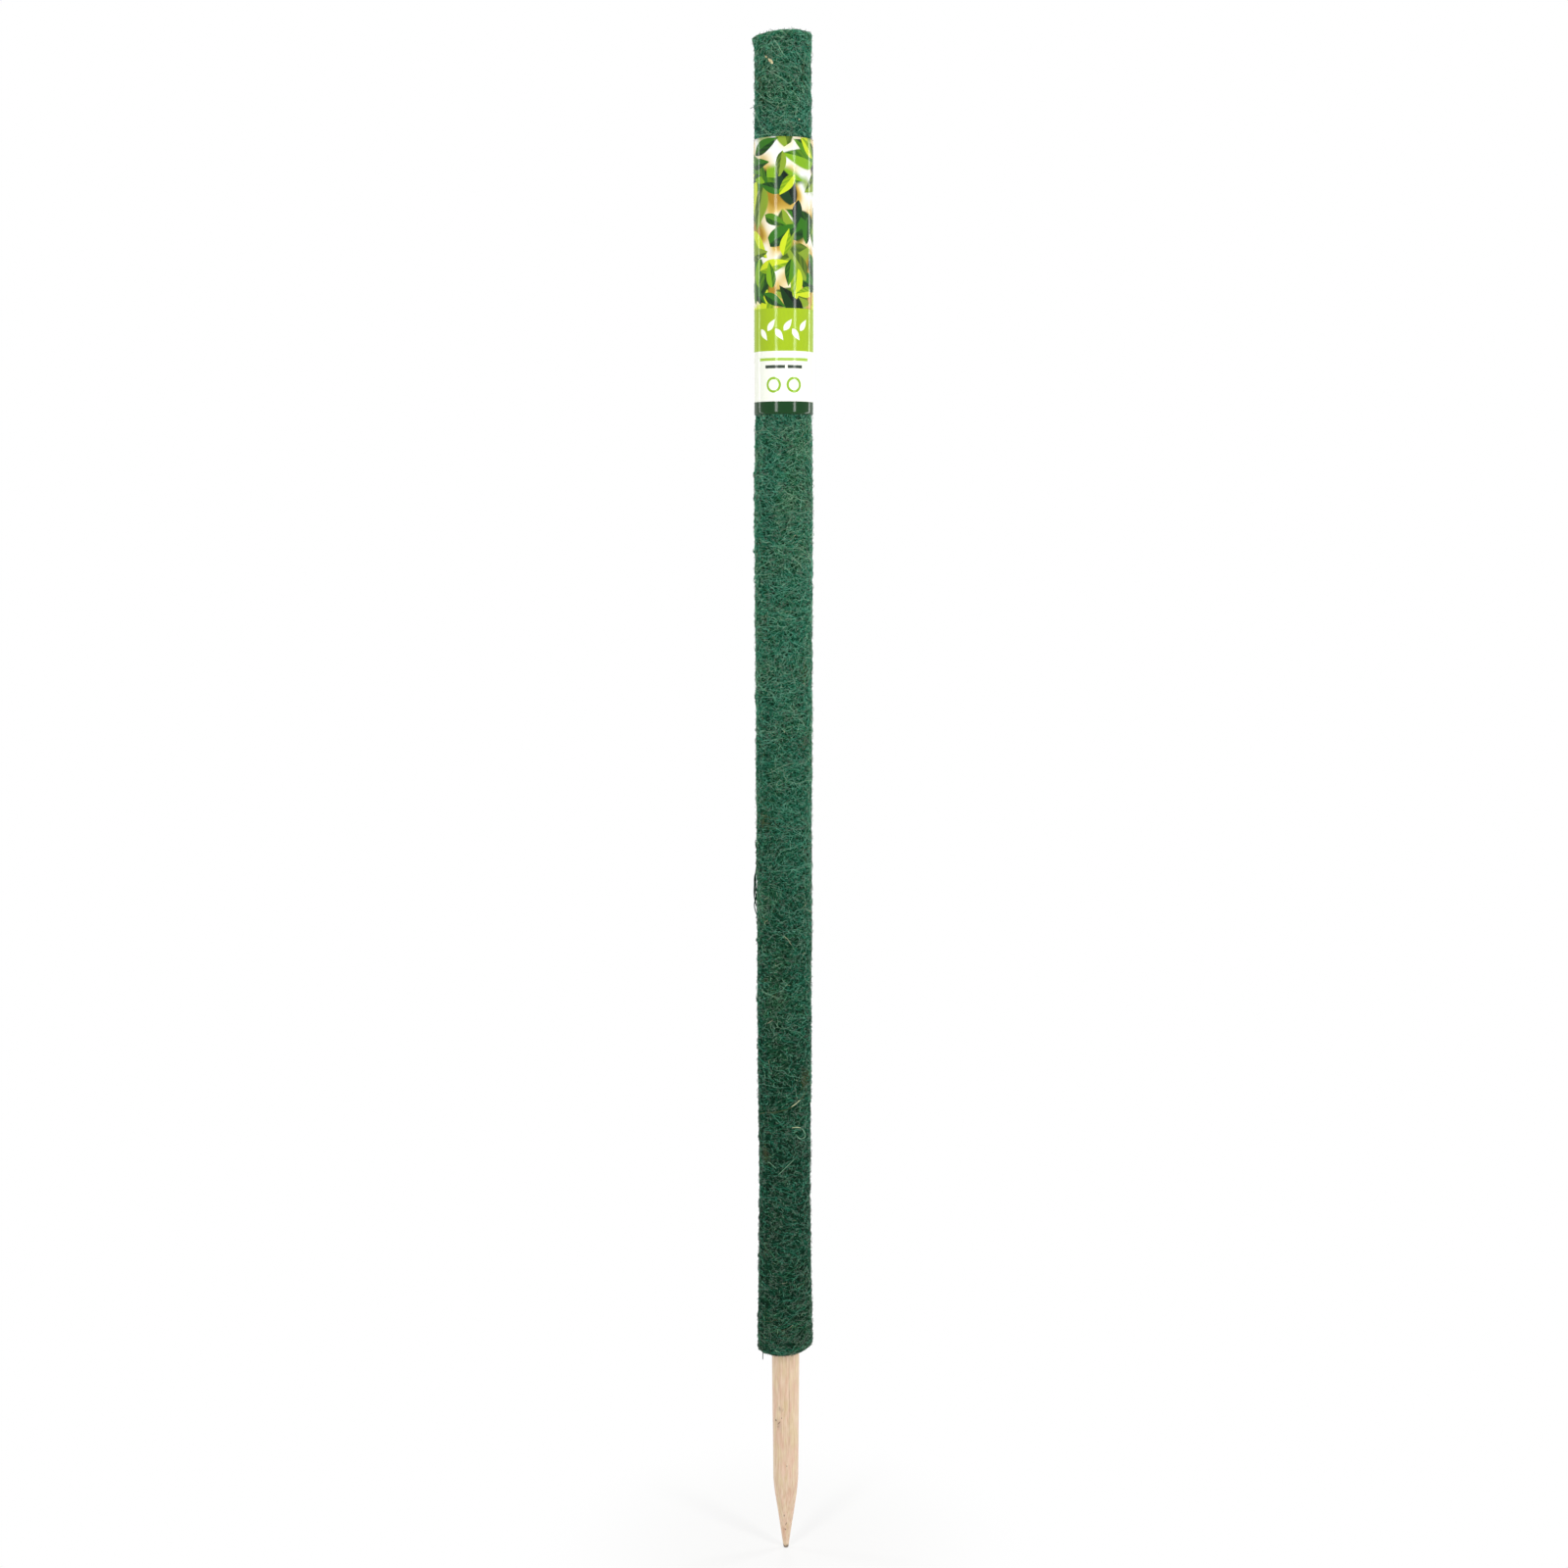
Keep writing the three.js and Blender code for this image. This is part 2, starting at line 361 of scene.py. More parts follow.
def softwood_turned():
    """Softwood dowel, turned and left raw: pale and matt, with long grain, small marks and a soiled tip."""
    material, tree = new_material("softwood_turned_raw")
    place = add(tree, "TexCoord").outputs["Object"]
    pith = add(
        tree,
        "Mapping",
        {
            "Vector": place,
            "Location": (PITH_OFFSET[0] * MM, PITH_OFFSET[1] * MM, 0),
            "Rotation": (*PITH_LEAN, 0),
            "Scale": (1, 1, LENGTHWISE),
        },
    )
    drift = add(tree, "TexNoise", {"Vector": pith, "Scale": per_mm(RING_SWAY_SIZE), "Detail": 2.0})
    distance = add(tree, "VectorMath", {0: pith}, operation="LENGTH").outputs["Value"]
    swayed = add(tree, "Math", {0: drift, 1: RING_SWAY * MM, 2: distance}, operation="MULTIPLY_ADD")
    rings = add(tree, "Math", {0: swayed, 1: per_mm(RING_WIDTH)}, operation="MULTIPLY")
    season = add(tree, "Math", {0: rings}, operation="FRACT")
    colour = add(tree, "ValToRGB", {"Fac": season}, stops=RING_COLOURS)
    for drawn_out, width, detail, colours, strength in WOOD_PATTERNS:
        stretched = add(tree, "Mapping", {"Vector": place, "Scale": (1, 1, drawn_out)})
        pattern = add(tree, "TexNoise", {"Vector": stretched, "Scale": per_mm(width), "Detail": detail})
        tint = add(tree, "ValToRGB", {"Fac": pattern}, stops=colours)
        colour = add(tree, "Mix", {"Factor": strength, "A": colour, "B": tint}, data_type="RGBA")
    axes = add(tree, "SeparateXYZ", {0: place})
    front = add(tree, "Math", {0: axes.outputs["Y"], 1: 0.0}, operation="LESS_THAN")
    sheet = add(tree, "CombineXYZ", {"X": axes.outputs["X"], "Y": axes.outputs["Z"]})
    for right, height, half_width, half_length, lean, strength in STAKE_MARKS:
        local = add(
            tree,
            "Mapping",
            {
                "Vector": sheet,
                "Location": (right * MM, height * MM, 0),
                "Rotation": (0, 0, math.radians(lean)),
                "Scale": (half_width * MM, half_length * MM, 1),
            },
            vector_type="TEXTURE",
        )
        away = add(tree, "VectorMath", {0: local}, operation="LENGTH").outputs["Value"]
        inside = add(tree, "Math", {0: 1.0, 1: away}, operation="SUBTRACT", use_clamp=True)
        faded = add(tree, "Math", {0: inside, 1: 2 * strength}, operation="MULTIPLY", use_clamp=True)
        mark = add(tree, "Math", {0: faded, 1: front}, operation="MULTIPLY")
        colour = add(tree, "Mix", {"Factor": mark, "A": colour, "B": "#6d5240"}, data_type="RGBA")
    crumbs = add(tree, "TexNoise", {"Vector": place, "Scale": per_mm(SOIL_CRUMB), "Detail": 2.0})
    soil_base = (stake_low + SOIL_BASE) * MM
    soil_edge = add(tree, "Math", {0: crumbs, 1: SOIL_RAGGED * MM, 2: soil_base}, operation="MULTIPLY_ADD")
    soiled = add(
        tree,
        "MapRange",
        {
            "Value": axes.outputs["Z"],
            "From Min": soil_edge,
            "From Max": (stake_low + SOIL_TOP) * MM,
            "To Min": SOIL_COVER,
            "To Max": 0.0,
        },
    )
    colour = add(tree, "Mix", {"Factor": soiled, "A": colour, "B": "#5d5148"}, data_type="RGBA")
    shader = add(
        tree,
        "BsdfPrincipled",
        {"Base Color": colour, "Roughness": 0.4, "Specular IOR Level": 0.5},
    )
    add(tree, "OutputMaterial", {"Surface": shader})
    return material


def glue_dried():
    """White wood glue, dried inside the roll: ivory beads with a low gloss."""
    material, tree = new_material("wood_glue_dried")
    place = add(tree, "TexCoord").outputs["Object"]
    beads = add(tree, "TexNoise", {"Vector": place, "Scale": per_mm(3), "Detail": 2.0})
    colour = add(tree, "ValToRGB", {"Fac": beads}, stops=[(0.35, "#d9cda9"), (0.65, "#ece4cb")])
    shader = add(tree, "BsdfPrincipled", {"Base Color": colour, "Roughness": 0.4})
    add(tree, "OutputMaterial", {"Surface": shader})
    return material


# A printed leaf, whose place runs from -1 to 1 along and across it
LEAF_BASE = -0.45  # how much wider it is near its stalk
LEAF_FOLD = 5.0  # how sharply its lit half begins at the rib
RIB_HALF_WIDTH = 0.08
VEIN_SLANT = -0.7
VEIN_SPACING = 0.24
VEIN_LIGHT = 1.6


def printed_leaf():
    """Node group of a printed leaf: its ink, and its lit half with the rib and veins."""
    group = bpy.data.node_groups.new("printed_leaf", "ShaderNodeTree")
    group.interface.new_socket("Place", in_out="INPUT", socket_type="NodeSocketVector")
    group.interface.new_socket("Crispness", in_out="INPUT", socket_type="NodeSocketFloat")
    group.interface.new_socket("Ink", in_out="OUTPUT", socket_type="NodeSocketFloat")
    group.interface.new_socket("Light", in_out="OUTPUT", socket_type="NodeSocketFloat")
    entry = add(group, "NodeGroupInput")
    axes = add(group, "SeparateXYZ", {0: entry.outputs["Place"]})
    along, across = axes.outputs["X"], axes.outputs["Y"]
    square = add(group, "Math", {0: along, 1: along}, operation="MULTIPLY")
    oval = add(group, "Math", {0: 1.0, 1: square}, operation="SUBTRACT", use_clamp=True)
    fuller = add(group, "Math", {0: along, 1: LEAF_BASE, 2: 1.0}, operation="MULTIPLY_ADD")
    edge = add(group, "Math", {0: oval, 1: fuller}, operation="MULTIPLY")
    off_rib = add(group, "Math", {0: across}, operation="ABSOLUTE")
    inside = add(group, "Math", {0: edge, 1: off_rib}, operation="SUBTRACT")
    crisp = entry.outputs["Crispness"]
    ink = add(group, "Math", {0: inside, 1: crisp}, operation="MULTIPLY", use_clamp=True)
    lit = add(group, "Math", {0: across, 1: LEAF_FOLD, 2: 0.5}, operation="MULTIPLY_ADD", use_clamp=True)
    rib = add(group, "Math", {0: off_rib, 1: RIB_HALF_WIDTH}, operation="LESS_THAN")
    slant = add(group, "Math", {0: off_rib, 1: VEIN_SLANT, 2: along}, operation="MULTIPLY_ADD")
    ripple = add(group, "Math", {0: slant, 1: VEIN_SPACING}, operation="PINGPONG")
    veins = add(group, "Math", {0: ripple, 1: VEIN_LIGHT, 2: lit}, operation="MULTIPLY_ADD")
    light = add(group, "Math", {0: veins, 1: rib}, operation="ADD", use_clamp=True)
    add(group, "NodeGroupOutput", {"Ink": ink, "Light": light})
    return group


# Layers of the picture's leaves, from the lowest: size of the cell that each leaf grows in, length, width,
# share of cells with a leaf, crispness
LEAF_LAYERS = [
    (34, 44, 20, 0.85, 2.5),
    (30, 37, 15, 0.8, 6),
    (27, 32, 13, 0.75, 14),
    (24, 27, 10, 0.65, 18),
    (20, 21, 8, 0.5, 22),
]
LAYER_SHIFT = (57.0, 31.0)  # of each layer against the one below
LAYER_TURN = 0.7  # radians
LEAF_SHADES = ["#021506", "#08330a", "#2f660a", "#6a980a", "#17450b", "#01100a", "#3b5a10"]
LEAF_LIGHTS = ["#0d350d", "#2f7012", "#7fb018", "#c8da22", "#4f8814", "#11381a", "#86a22c"]
GROUND_PATCH = 30
GROUND_COLOURS = [
    (0.39, "#a8821c"),
    (0.46, "#d2b357"),
    (0.53, "#efe5c6"),
    (0.61, "#f4f6f4"),
    (0.71, "#a0b56e"),
]
SPRIG_LEAVES = 6  # white leaves in a row on the plain band
SPRIG_LEAF = (11, 4.6)  # length and width of each
SPRIG_SPACING = 6.5
SPRIG_STAGGER = 3.6
SPRIG_LEAN = math.radians(55)
SPRIG_CRISPNESS = 9.0
PANEL_BARS = [  # right of the front, height, half width, half height, ink
    (0, 41, 21, 1.1, "#a6c94a"),
    (-7, 35.5, 8, 1.2, "#3a463c"),
    (9, 35.5, 6, 1.2, "#3a463c"),
]
PANEL_RINGS = [(-8, 22), (8, 22)]  # right of the front, height
RING_RADIUS = 5
RING_LINE = 0.9


def leaf_layer(tree, leaf, place, colour, number):
    """The colour under a layer of leaves, one in a share of the cells, each turned and inked by chance."""
    cell, length, width, share_grown, crispness = LEAF_LAYERS[number]
    moved = add(
        tree,
        "Mapping",
        {
            "Vector": place,
            "Location": (LAYER_SHIFT[0] * number, LAYER_SHIFT[1] * number, 0),
            "Rotation": (0, 0, LAYER_TURN * number),
        },
    )
    cells = add(
        tree,
        "TexVoronoi",
        {"Vector": moved, "Scale": 1 / cell, "Randomness": 0.5},
        voronoi_dimensions="2D",
    )
    chance = add(tree, "SeparateColor", {0: cells.outputs["Color"]}).outputs
    from_middle = add(tree, "VectorMath", {0: moved, 1: cells.outputs["Position"]}, operation="SUBTRACT")
    angle = add(tree, "Math", {0: chance["Red"], 1: 2 * math.pi}, operation="MULTIPLY")
    turned = add(tree, "VectorRotate", {"Vector": from_middle, "Angle": angle}, rotation_type="Z_AXIS")
    local = add(tree, "VectorMath", {0: turned, 1: (2 / length, 2 / width, 0)}, operation="MULTIPLY")
    drawn = add(tree, "Group", {"Place": local, "Crispness": float(crispness)}, node_tree=leaf)
    grown = add(tree, "Math", {0: chance["Blue"], 1: share_grown}, operation="LESS_THAN")
    ink = add(tree, "Math", {0: drawn.outputs["Ink"], 1: grown}, operation="MULTIPLY")
    ramps = []
    for inks in (LEAF_SHADES, LEAF_LIGHTS):
        stops = [(index / len(inks), tint) for index, tint in enumerate(inks)]
        ramp = add(tree, "ValToRGB", {"Fac": chance["Green"]}, stops=stops)
        ramp.color_ramp.interpolation = "CONSTANT"
        ramps.append(ramp)
    halves = {"Factor": drawn.outputs["Light"], "A": ramps[0], "B": ramps[1]}
    inked = add(tree, "Mix", halves, data_type="RGBA")
    return add(tree, "Mix", {"Factor": ink, "A": colour, "B": inked}, data_type="RGBA")


def band_sprig():
    """Leaves of the white sprig on the plain band: right of the front, height and turn."""
    leaves = []
    for index in range(SPRIG_LEAVES):
        around = (index - (SPRIG_LEAVES - 1) / 2) * SPRIG_SPACING
        side = 1 if index % 2 else -1
        above = (PANEL_TOP + BAND_TOP) / 2 + SPRIG_STAGGER * side
        leaves.append((around, above, SPRIG_LEAN * side))
    return leaves


def printed_film():
    """Polypropylene film, printed and glossy: flat bands of ink, and leaves tossed over a pale ground."""
    material, tree = new_material("polypropylene_film_printed")
    place = add(tree, "UVMap", uv_map="film").outputs["UV"]
    axes = add(tree, "SeparateXYZ", {0: place})
    around, up = axes.outputs["X"], axes.outputs["Y"]
    ground = add(tree, "TexNoise", {"Vector": place, "Scale": 1 / GROUND_PATCH, "Detail": 1.0})
    colour = add(tree, "ValToRGB", {"Fac": ground}, stops=GROUND_COLOURS)
    leaf = printed_leaf()
    for number in range(len(LEAF_LAYERS)):
        colour = leaf_layer(tree, leaf, place, colour, number)
    picture = add(tree, "Math", {0: up, 1: BAND_TOP}, operation="GREATER_THAN")
    share_up = add(tree, "Math", {0: up, 1: 1 / sleeve_height}, operation="MULTIPLY")
    bands = add(
        tree,
        "ValToRGB",
        {"Fac": share_up},
        stops=[
            (0, "#063a12"),
            (HEM_TOP / sleeve_height, "#f3f6ea"),
            (PANEL_TOP / sleeve_height, "#a1be1a"),
        ],
    )
    bands.color_ramp.interpolation = "CONSTANT"
    colour = add(tree, "Mix", {"Factor": picture, "A": bands, "B": colour}, data_type="RGBA")
    for right, height, turned in band_sprig():
        local = add(
            tree,
            "Mapping",
            {
                "Vector": place,
                "Location": (right, height, 0),
                "Rotation": (0, 0, turned),
                "Scale": (SPRIG_LEAF[0] / 2, SPRIG_LEAF[1] / 2, 1),
            },
            vector_type="TEXTURE",
        )
        drawn = add(tree, "Group", {"Place": local, "Crispness": SPRIG_CRISPNESS}, node_tree=leaf)
        ink = drawn.outputs["Ink"]
        colour = add(tree, "Mix", {"Factor": ink, "A": colour, "B": "#f8fbee"}, data_type="RGBA")
    for right, height, half_width, half_height, ink in PANEL_BARS:
        beside = add(tree, "Math", {0: around, 1: right, 2: half_width}, operation="COMPARE")
        level = add(tree, "Math", {0: up, 1: height, 2: half_height}, operation="COMPARE")
        bar = add(tree, "Math", {0: beside, 1: level}, operation="MULTIPLY")
        colour = add(tree, "Mix", {"Factor": bar, "A": colour, "B": ink}, data_type="RGBA")
    for right, height in PANEL_RINGS:
        middle = (right, height, 0)
        away = add(tree, "VectorMath", {0: place, 1: middle}, operation="DISTANCE").outputs["Value"]
        ring = add(tree, "Math", {0: away, 1: RING_RADIUS, 2: RING_LINE}, operation="COMPARE")
        colour = add(tree, "Mix", {"Factor": ring, "A": colour, "B": "#8fb928"}, data_type="RGBA")
    shader = add(
        tree,
        "BsdfPrincipled",
        {"Base Color": colour, "Roughness": 0.13, "IOR": 1.5, "Specular IOR Level": 0.24},
    )
    add(tree, "OutputMaterial", {"Surface": shader})
    return material


def film_back():
    """The film's unprinted inner face: white, with the even low gloss of cast film."""
    material, tree = new_material("polypropylene_film_back")
    shader = add(tree, "BsdfPrincipled", {"Base Color": "#eef0e8", "Roughness": 0.3})
    add(tree, "OutputMaterial", {"Surface": shader})
    return material


# The mat's outer face

FACE_COLUMNS = 145  # where the CAD mat's face is measured
FACE_STEP = 6
FACE_TOP_GAP = 3
PATCH_WAVES = 7  # waves that add up to a field of patches, and their lengths as shares of the patches' size
PATCH_LENGTHS = (0.7, 1.6)
FILM_GRIP = 6  # how far past its edges the film holds the fibres in

rng = np.random.default_rng(SEED)


def patch_waves(size):
    """Waves of a smooth random field with patches of a size: their directions and phases."""
    directions = rng.normal(0, 1, (PATCH_WAVES, 3))
    lengths = size * rng.uniform(*PATCH_LENGTHS, PATCH_WAVES)
    directions *= (2 * np.pi / lengths / np.linalg.norm(directions, axis=1))[:, None]
    return directions, rng.uniform(0, 2 * np.pi, PATCH_WAVES)


def patches(points, waves):
    """A smooth random field at points, about -1 to 1."""
    directions, phases = waves
    return np.sin(points @ directions.T + phases).sum(axis=-1) / math.sqrt(2 * len(phases))


face_turns = np.linspace(-np.pi, np.pi, FACE_COLUMNS)
face_levels = np.arange(mat_low + FACE_STEP, mat_high - FACE_TOP_GAP, FACE_STEP)
face_radii = measured_radii("coir_mat", *np.broadcast_arrays(face_turns[None, :], face_levels[:, None]))
lump_waves = [(patch_waves(size), height) for size, height in LUMPS.items()]


def mat_face(turn, height):
    """Radius of the mat's outer face: the CAD face with soft lumps, a tight lower edge and an open rim."""
    level = np.clip(height, face_levels[0], mat_high - RIM_FLARE_REACH)
    row = np.clip(np.searchsorted(face_levels, level) - 1, 0, len(face_levels) - 2)
    up = (level - face_levels[row]) / (face_levels[row + 1] - face_levels[row])
    steps = np.mod(turn + np.pi, 2 * np.pi) / (face_turns[1] - face_turns[0])
    column = np.clip(steps.astype(int), 0, len(face_turns) - 2)
    along = steps - column
    below = face_radii[row, column] * (1 - along) + face_radii[row, column + 1] * along
    above = face_radii[row + 1, column] * (1 - along) + face_radii[row + 1, column + 1] * along
    radius = below * (1 - up) + above * up
    points = np.stack([FACE_RADIUS * np.sin(turn), -FACE_RADIUS * np.cos(turn), height], axis=-1)
    for waves, stands_out in lump_waves:
        radius = radius + stands_out * patches(points, waves)
    right_share = (1 + np.sin(turn)) / 2
    flare = RIM_FLARE_LEFT + (RIM_FLARE_RIGHT - RIM_FLARE_LEFT) * right_share
    opening = np.clip((height - mat_high + RIM_FLARE_REACH) / RIM_FLARE_REACH, 0, 1) ** 2
    tuck = LOWER_EDGE_ROUND * np.clip(1 - (height - mat_low) / LOWER_EDGE_ROUND, 0, 1) ** 2
    room = HAIR_ROOM * (1 - rise(height, *HAIR_ROOM_FADE))
    room = room + FOOT_HAIR_ROOM * (1 - rise(height, *FOOT_HAIR_ROOM_FADE))
    return radius + flare * opening - tuck - room


def to_space(turn, height, radius):
    """Points on the pole. Both ends of the roll are cut a little askew, and the rim sinks at its sides."""
    at_lower = 1 - rise(height, mat_low, mat_low + END_REACH)
    at_rim = rise(height, mat_high - END_REACH, mat_high)
    right = radius * np.sin(turn)
    skew = RIM_SKEW * at_rim + LOWER_EDGE_SKEW * at_lower
    level = height + skew * right - RIM_DROOP * at_rim * (right / FACE_RADIUS) ** 2
    level = level - LOWER_EDGE_SAG * at_lower * np.clip(np.cos(turn - LOWER_EDGE_SAG_TURN), 0, 1)
    return np.stack([right, -radius * np.cos(turn), level], axis=-1)


def under_film(height, radius):
    """Radii held in where the film sleeve sits."""
    held = (height > sleeve_low - FILM_GRIP) & (height < sleeve_high + FILM_GRIP)
    return np.where(held, np.minimum(radius, sleeve_radius - FILM_DEPTH - FILM_ROOM), radius)


# Coir fibres

CURL_WAVES = (0.5, 1.2, 2.3)  # bends along a fibre
TIP_WIDTH = 0.35  # of a fibre's ends, as a share of its thickness
TIP_TAPER = 6  # how fast it reaches its thickness

along_fibre = np.linspace(0, 1, FIBRE_STEPS + 1)


def any_way(count):
    """Random directions, one per fibre."""
    return rng.uniform(0, 2 * np.pi, (count, 1))


def reaches(shape, mean, most, size):
    """Random reaches about a mean, few of them long and none beyond the most."""
    return np.minimum(rng.gamma(shape, mean / shape, size), most)


def wandering(lengths, curl, heading, steps=FIBRE_STEPS):
    """Flat wavy fibre paths about their own middles: distances along and up, one row per fibre."""
    each = (len(lengths), 1)
    place = np.linspace(0, 1, steps + 1)
    for waves in CURL_WAVES:
        swing = curl * rng.normal(0, 1, each)
        heading = heading + swing * np.sin(2 * np.pi * (waves * place + rng.random(each)))
    step = lengths[:, None] / steps
    along = np.cumsum(np.cos(heading) * step, axis=1)
    up = np.cumsum(np.sin(heading) * step, axis=1)
    return along - along.mean(axis=1, keepdims=True), up - up.mean(axis=1, keepdims=True)


def outward(paths):
    """Directions away from the pole's axis at points of paths."""
    flat = paths * [1, 1, 0]
    return flat / np.linalg.norm(flat, axis=-1, keepdims=True)


def fibre_piece(name, paths, facing, thickness, shades, materials):
    """Fibres as closed tubes with narrow ends along paths, each of its own shade, joined in one piece."""
    count, stations = paths.shape[:2]
    tangent = np.gradient(paths, axis=1)
    tangent /= np.linalg.norm(tangent, axis=2, keepdims=True)
    side = np.cross(facing, tangent)
    side /= np.linalg.norm(side, axis=2, keepdims=True) + 1e-9
    top = np.cross(tangent, side)
    along = np.linspace(0, 1, stations)
    taper = np.clip(TIP_WIDTH + TIP_TAPER * np.minimum(along, 1 - along), 0, 1)
    radius = (thickness[:, None] / 2 * taper)[:, :, None]
    corner_turns = 2 * np.pi * np.arange(FIBRE_SIDES) / FIBRE_SIDES
    rings = [paths + radius * (np.cos(turn) * top - np.sin(turn) * side) for turn in corner_turns]
    points = np.stack(rings, axis=2).reshape(-1, 3)
    index = np.arange(len(points)).reshape(count, stations, FIBRE_SIDES)
    following = np.roll(index, -1, axis=2)
    sides = np.stack([index[:, :-1], following[:, :-1], following[:, 1:], index[:, 1:]], axis=-1)
    ends = np.stack([index[:, 0, ::-1], index[:, -1]], axis=1)
    side_shades = np.repeat(shades, (stations - 1) * FIBRE_SIDES)
    face_shades = np.concatenate([side_shades, np.repeat(shades, 2)])
    faces = [sides.reshape(-1, 4), ends.reshape(-1, FIBRE_SIDES)]
    piece_from(mesh_from(name, points, faces, materials.values(), face_shades), "pole")


# Tones run from 0, deep, to 4, pale
FOOT_TONE = 0.3
TONE_RISE = 2.2  # from the foot of the mat up
TONE_RISE_END = 0.63  # share of the mat's height at which that rise ends
TONE_DRIFT = 0.1
TONE_RANGE = 3  # from the darkest to the palest of the fibres that lie together
LEAFY_SCATTER = 0.8
LEAFY_LIMIT = 0.5  # drift past which a fibre is leaf green, not teal
LEAFY_FOOT = (-0.05, 0.15)  # shares of the mat's height between which that limit rises from 0
UNDYED_DRIFT = 1.1
UNDYED_SCATTER = 0.4
OLIVE_LIMIT = 1.7
BROWN_LIMIT = 2.3
OLIVE_BAND_WIDTH = 0.13  # radians, of the upright lines of olive and brown fibre at the seam and on the right
OLIVE_BAND_STRENGTH = 0.7
STRAW_SHARE = 0.0008

# Sizes of the drifts of tone, of leaf green, of undyed fibre and of the fibres' common direction
DRIFT_SIZES = (60, 30, 22, 34)
wide_waves, leafy_waves, undyed_waves, lay_waves = (patch_waves(size) for size in DRIFT_SIZES)


def fibre_shades(paths, lightness, offset=None):
    """A shade for each fibre: lighter up the pole, in drifts of teal, leaf green, olive and brown."""
    middles = paths.mean(axis=1)
    count = len(middles)
    turn = np.arctan2(middles[:, 0], -middles[:, 1])
    up = (middles[:, 2] - mat_low) / mat_height
    if offset is None:
        offset = TONE_RANGE * rng.uniform(-0.5, 0.5, count)
    tone = FOOT_TONE + TONE_RISE * rise(up, 0.0, TONE_RISE_END) + lightness
    tone += offset + TONE_DRIFT * patches(middles, wide_waves)
    tone = np.clip(np.round(tone), 0, GREEN_TONES - 1).astype(int)
    leafy = patches(middles, leafy_waves) + rng.normal(0, LEAFY_SCATTER, count)
    shades = tone + GREEN_TONES * (leafy > LEAFY_LIMIT * rise(up, *LEAFY_FOOT))
    undyed = UNDYED_DRIFT * patches(middles, undyed_waves) + rng.normal(0, UNDYED_SCATTER, count)
    # More olive and brown fibres in upright lines at the seam and on the right
    for band_turn in (SEAM_TURN, RIGHT_BAND_TURN):
        undyed += OLIVE_BAND_STRENGTH * np.exp(-((turn - band_turn) / OLIVE_BAND_WIDTH) ** 2)
    shades = np.where(undyed > OLIVE_LIMIT, SHADE_NAMES.index("olive"), shades)
    shades = np.where(undyed > BROWN_LIMIT, SHADE_NAMES.index("brown"), shades)
    return np.where(rng.random(count) < STRAW_SHARE, SHADE_NAMES.index("straw"), shades)


def shaded_fibres(name, kind, paths, facing, materials):
    """A piece of one kind of fibre along paths, with the kind's thicknesses, and shades by their place."""
    thickness = rng.uniform(*kind.thickness, kind.count)
    fibre_piece(name, paths, facing, thickness, fibre_shades(paths, kind.lightness), materials)


# Layers of the face, from the deepest: kind of fibre, depths at which it lies, and range of its tones
FACE_LAYERS = [
    (FINE, (-0.5, 0.25), TONE_RANGE),
    (CRISP, (0.0, 0.3), 11),
    (LONG, (0.15, 0.45), 4),
]
EVEN_STEPS = 1.324717957244746 ** -np.arange(1, 3)  # of a sequence that spreads evenly over turn and height
GOLDEN_STEP = (math.sqrt(5) - 1) / 2
TONE_CELL = 4  # within cells of this size the fibres' tones are unlike
PLACE_JITTER = 0.7
LAY_SWING = 0.85  # how far the fibres' common direction strays from level, in radians
LAY_SCATTER = 0.8  # how far single fibres stray from it
DEPTH_SHADE_TONE = 0.5  # how much paler a fibre is that lies 1 mm higher: painted shade, deeper fibres darkened as if shadowed by those above
WEAVE_DEPTH = 0.25
WEAVE_WAVES = (0.5, 1.2)
LOOSE_SHARE = 0.08  # of the fibres have a loose tip
LOOSE_REACHES = (0.3, 1.3)  # how far it bends away
LOOSE_BEND = 5


def unlike_tones(turn, height):
    """Tones from 0 to 1 that differ among neighbours: each is a golden step from the last one in its cell."""
    row = np.floor(height / TONE_CELL)
    column = np.floor(turn * FACE_RADIUS / TONE_CELL)
    order = np.lexsort((rng.random(len(turn)), column, row))
    tones = np.empty(len(turn))
    tones[order] = np.arange(len(turn)) * GOLDEN_STEP % 1
    return tones


def face_layer(kind, depths, tone_range):
    """One kind of fibre, spread evenly over the mat's face: paths, thicknesses and shades."""
    count = kind.count
    each = (count, 1)
    turn, height = (np.outer(EVEN_STEPS, np.arange(count)) % 1)[:, :, None]
    turn = (2 * turn - 1) * np.pi + PLACE_JITTER * rng.normal(0, 1, each) / FACE_RADIUS
    height = mat_low + mat_height * height + PLACE_JITTER * rng.normal(0, 1, each)
    offset = tone_range * (unlike_tones(turn[:, 0], height[:, 0]) - 0.5)
    drift = patches(to_space(turn, height, FACE_RADIUS)[:, 0], lay_waves)[:, None]
    heading = LAY_SWING * drift + LAY_SCATTER * rng.normal(0, 1, each)
    along, up = wandering(rng.uniform(*kind.lengths, count), kind.curl, heading)
    turns = turn + along / FACE_RADIUS
    heights = mat_low + np.abs(height + up - mat_low)
    heights = mat_high - np.abs(mat_high - heights)
    base = rng.uniform(*depths, each)
    weave = np.sin(2 * np.pi * (rng.uniform(*WEAVE_WAVES, each) * along_fibre + rng.random(each)))
    loose = np.where(rng.random(each) < LOOSE_SHARE, rng.uniform(*LOOSE_REACHES, each), 0)
    radius = mat_face(turns, heights) + base + WEAVE_DEPTH * weave + loose * along_fibre ** LOOSE_BEND
    paths = to_space(turns, heights, under_film(heights, radius))
    # Deeper fibres are drawn darker here: painted shade from the fibres that lie over them
    shades = fibre_shades(paths, kind.lightness + DEPTH_SHADE_TONE * base[:, 0], offset)
    return paths, rng.uniform(*kind.thickness, count), shades


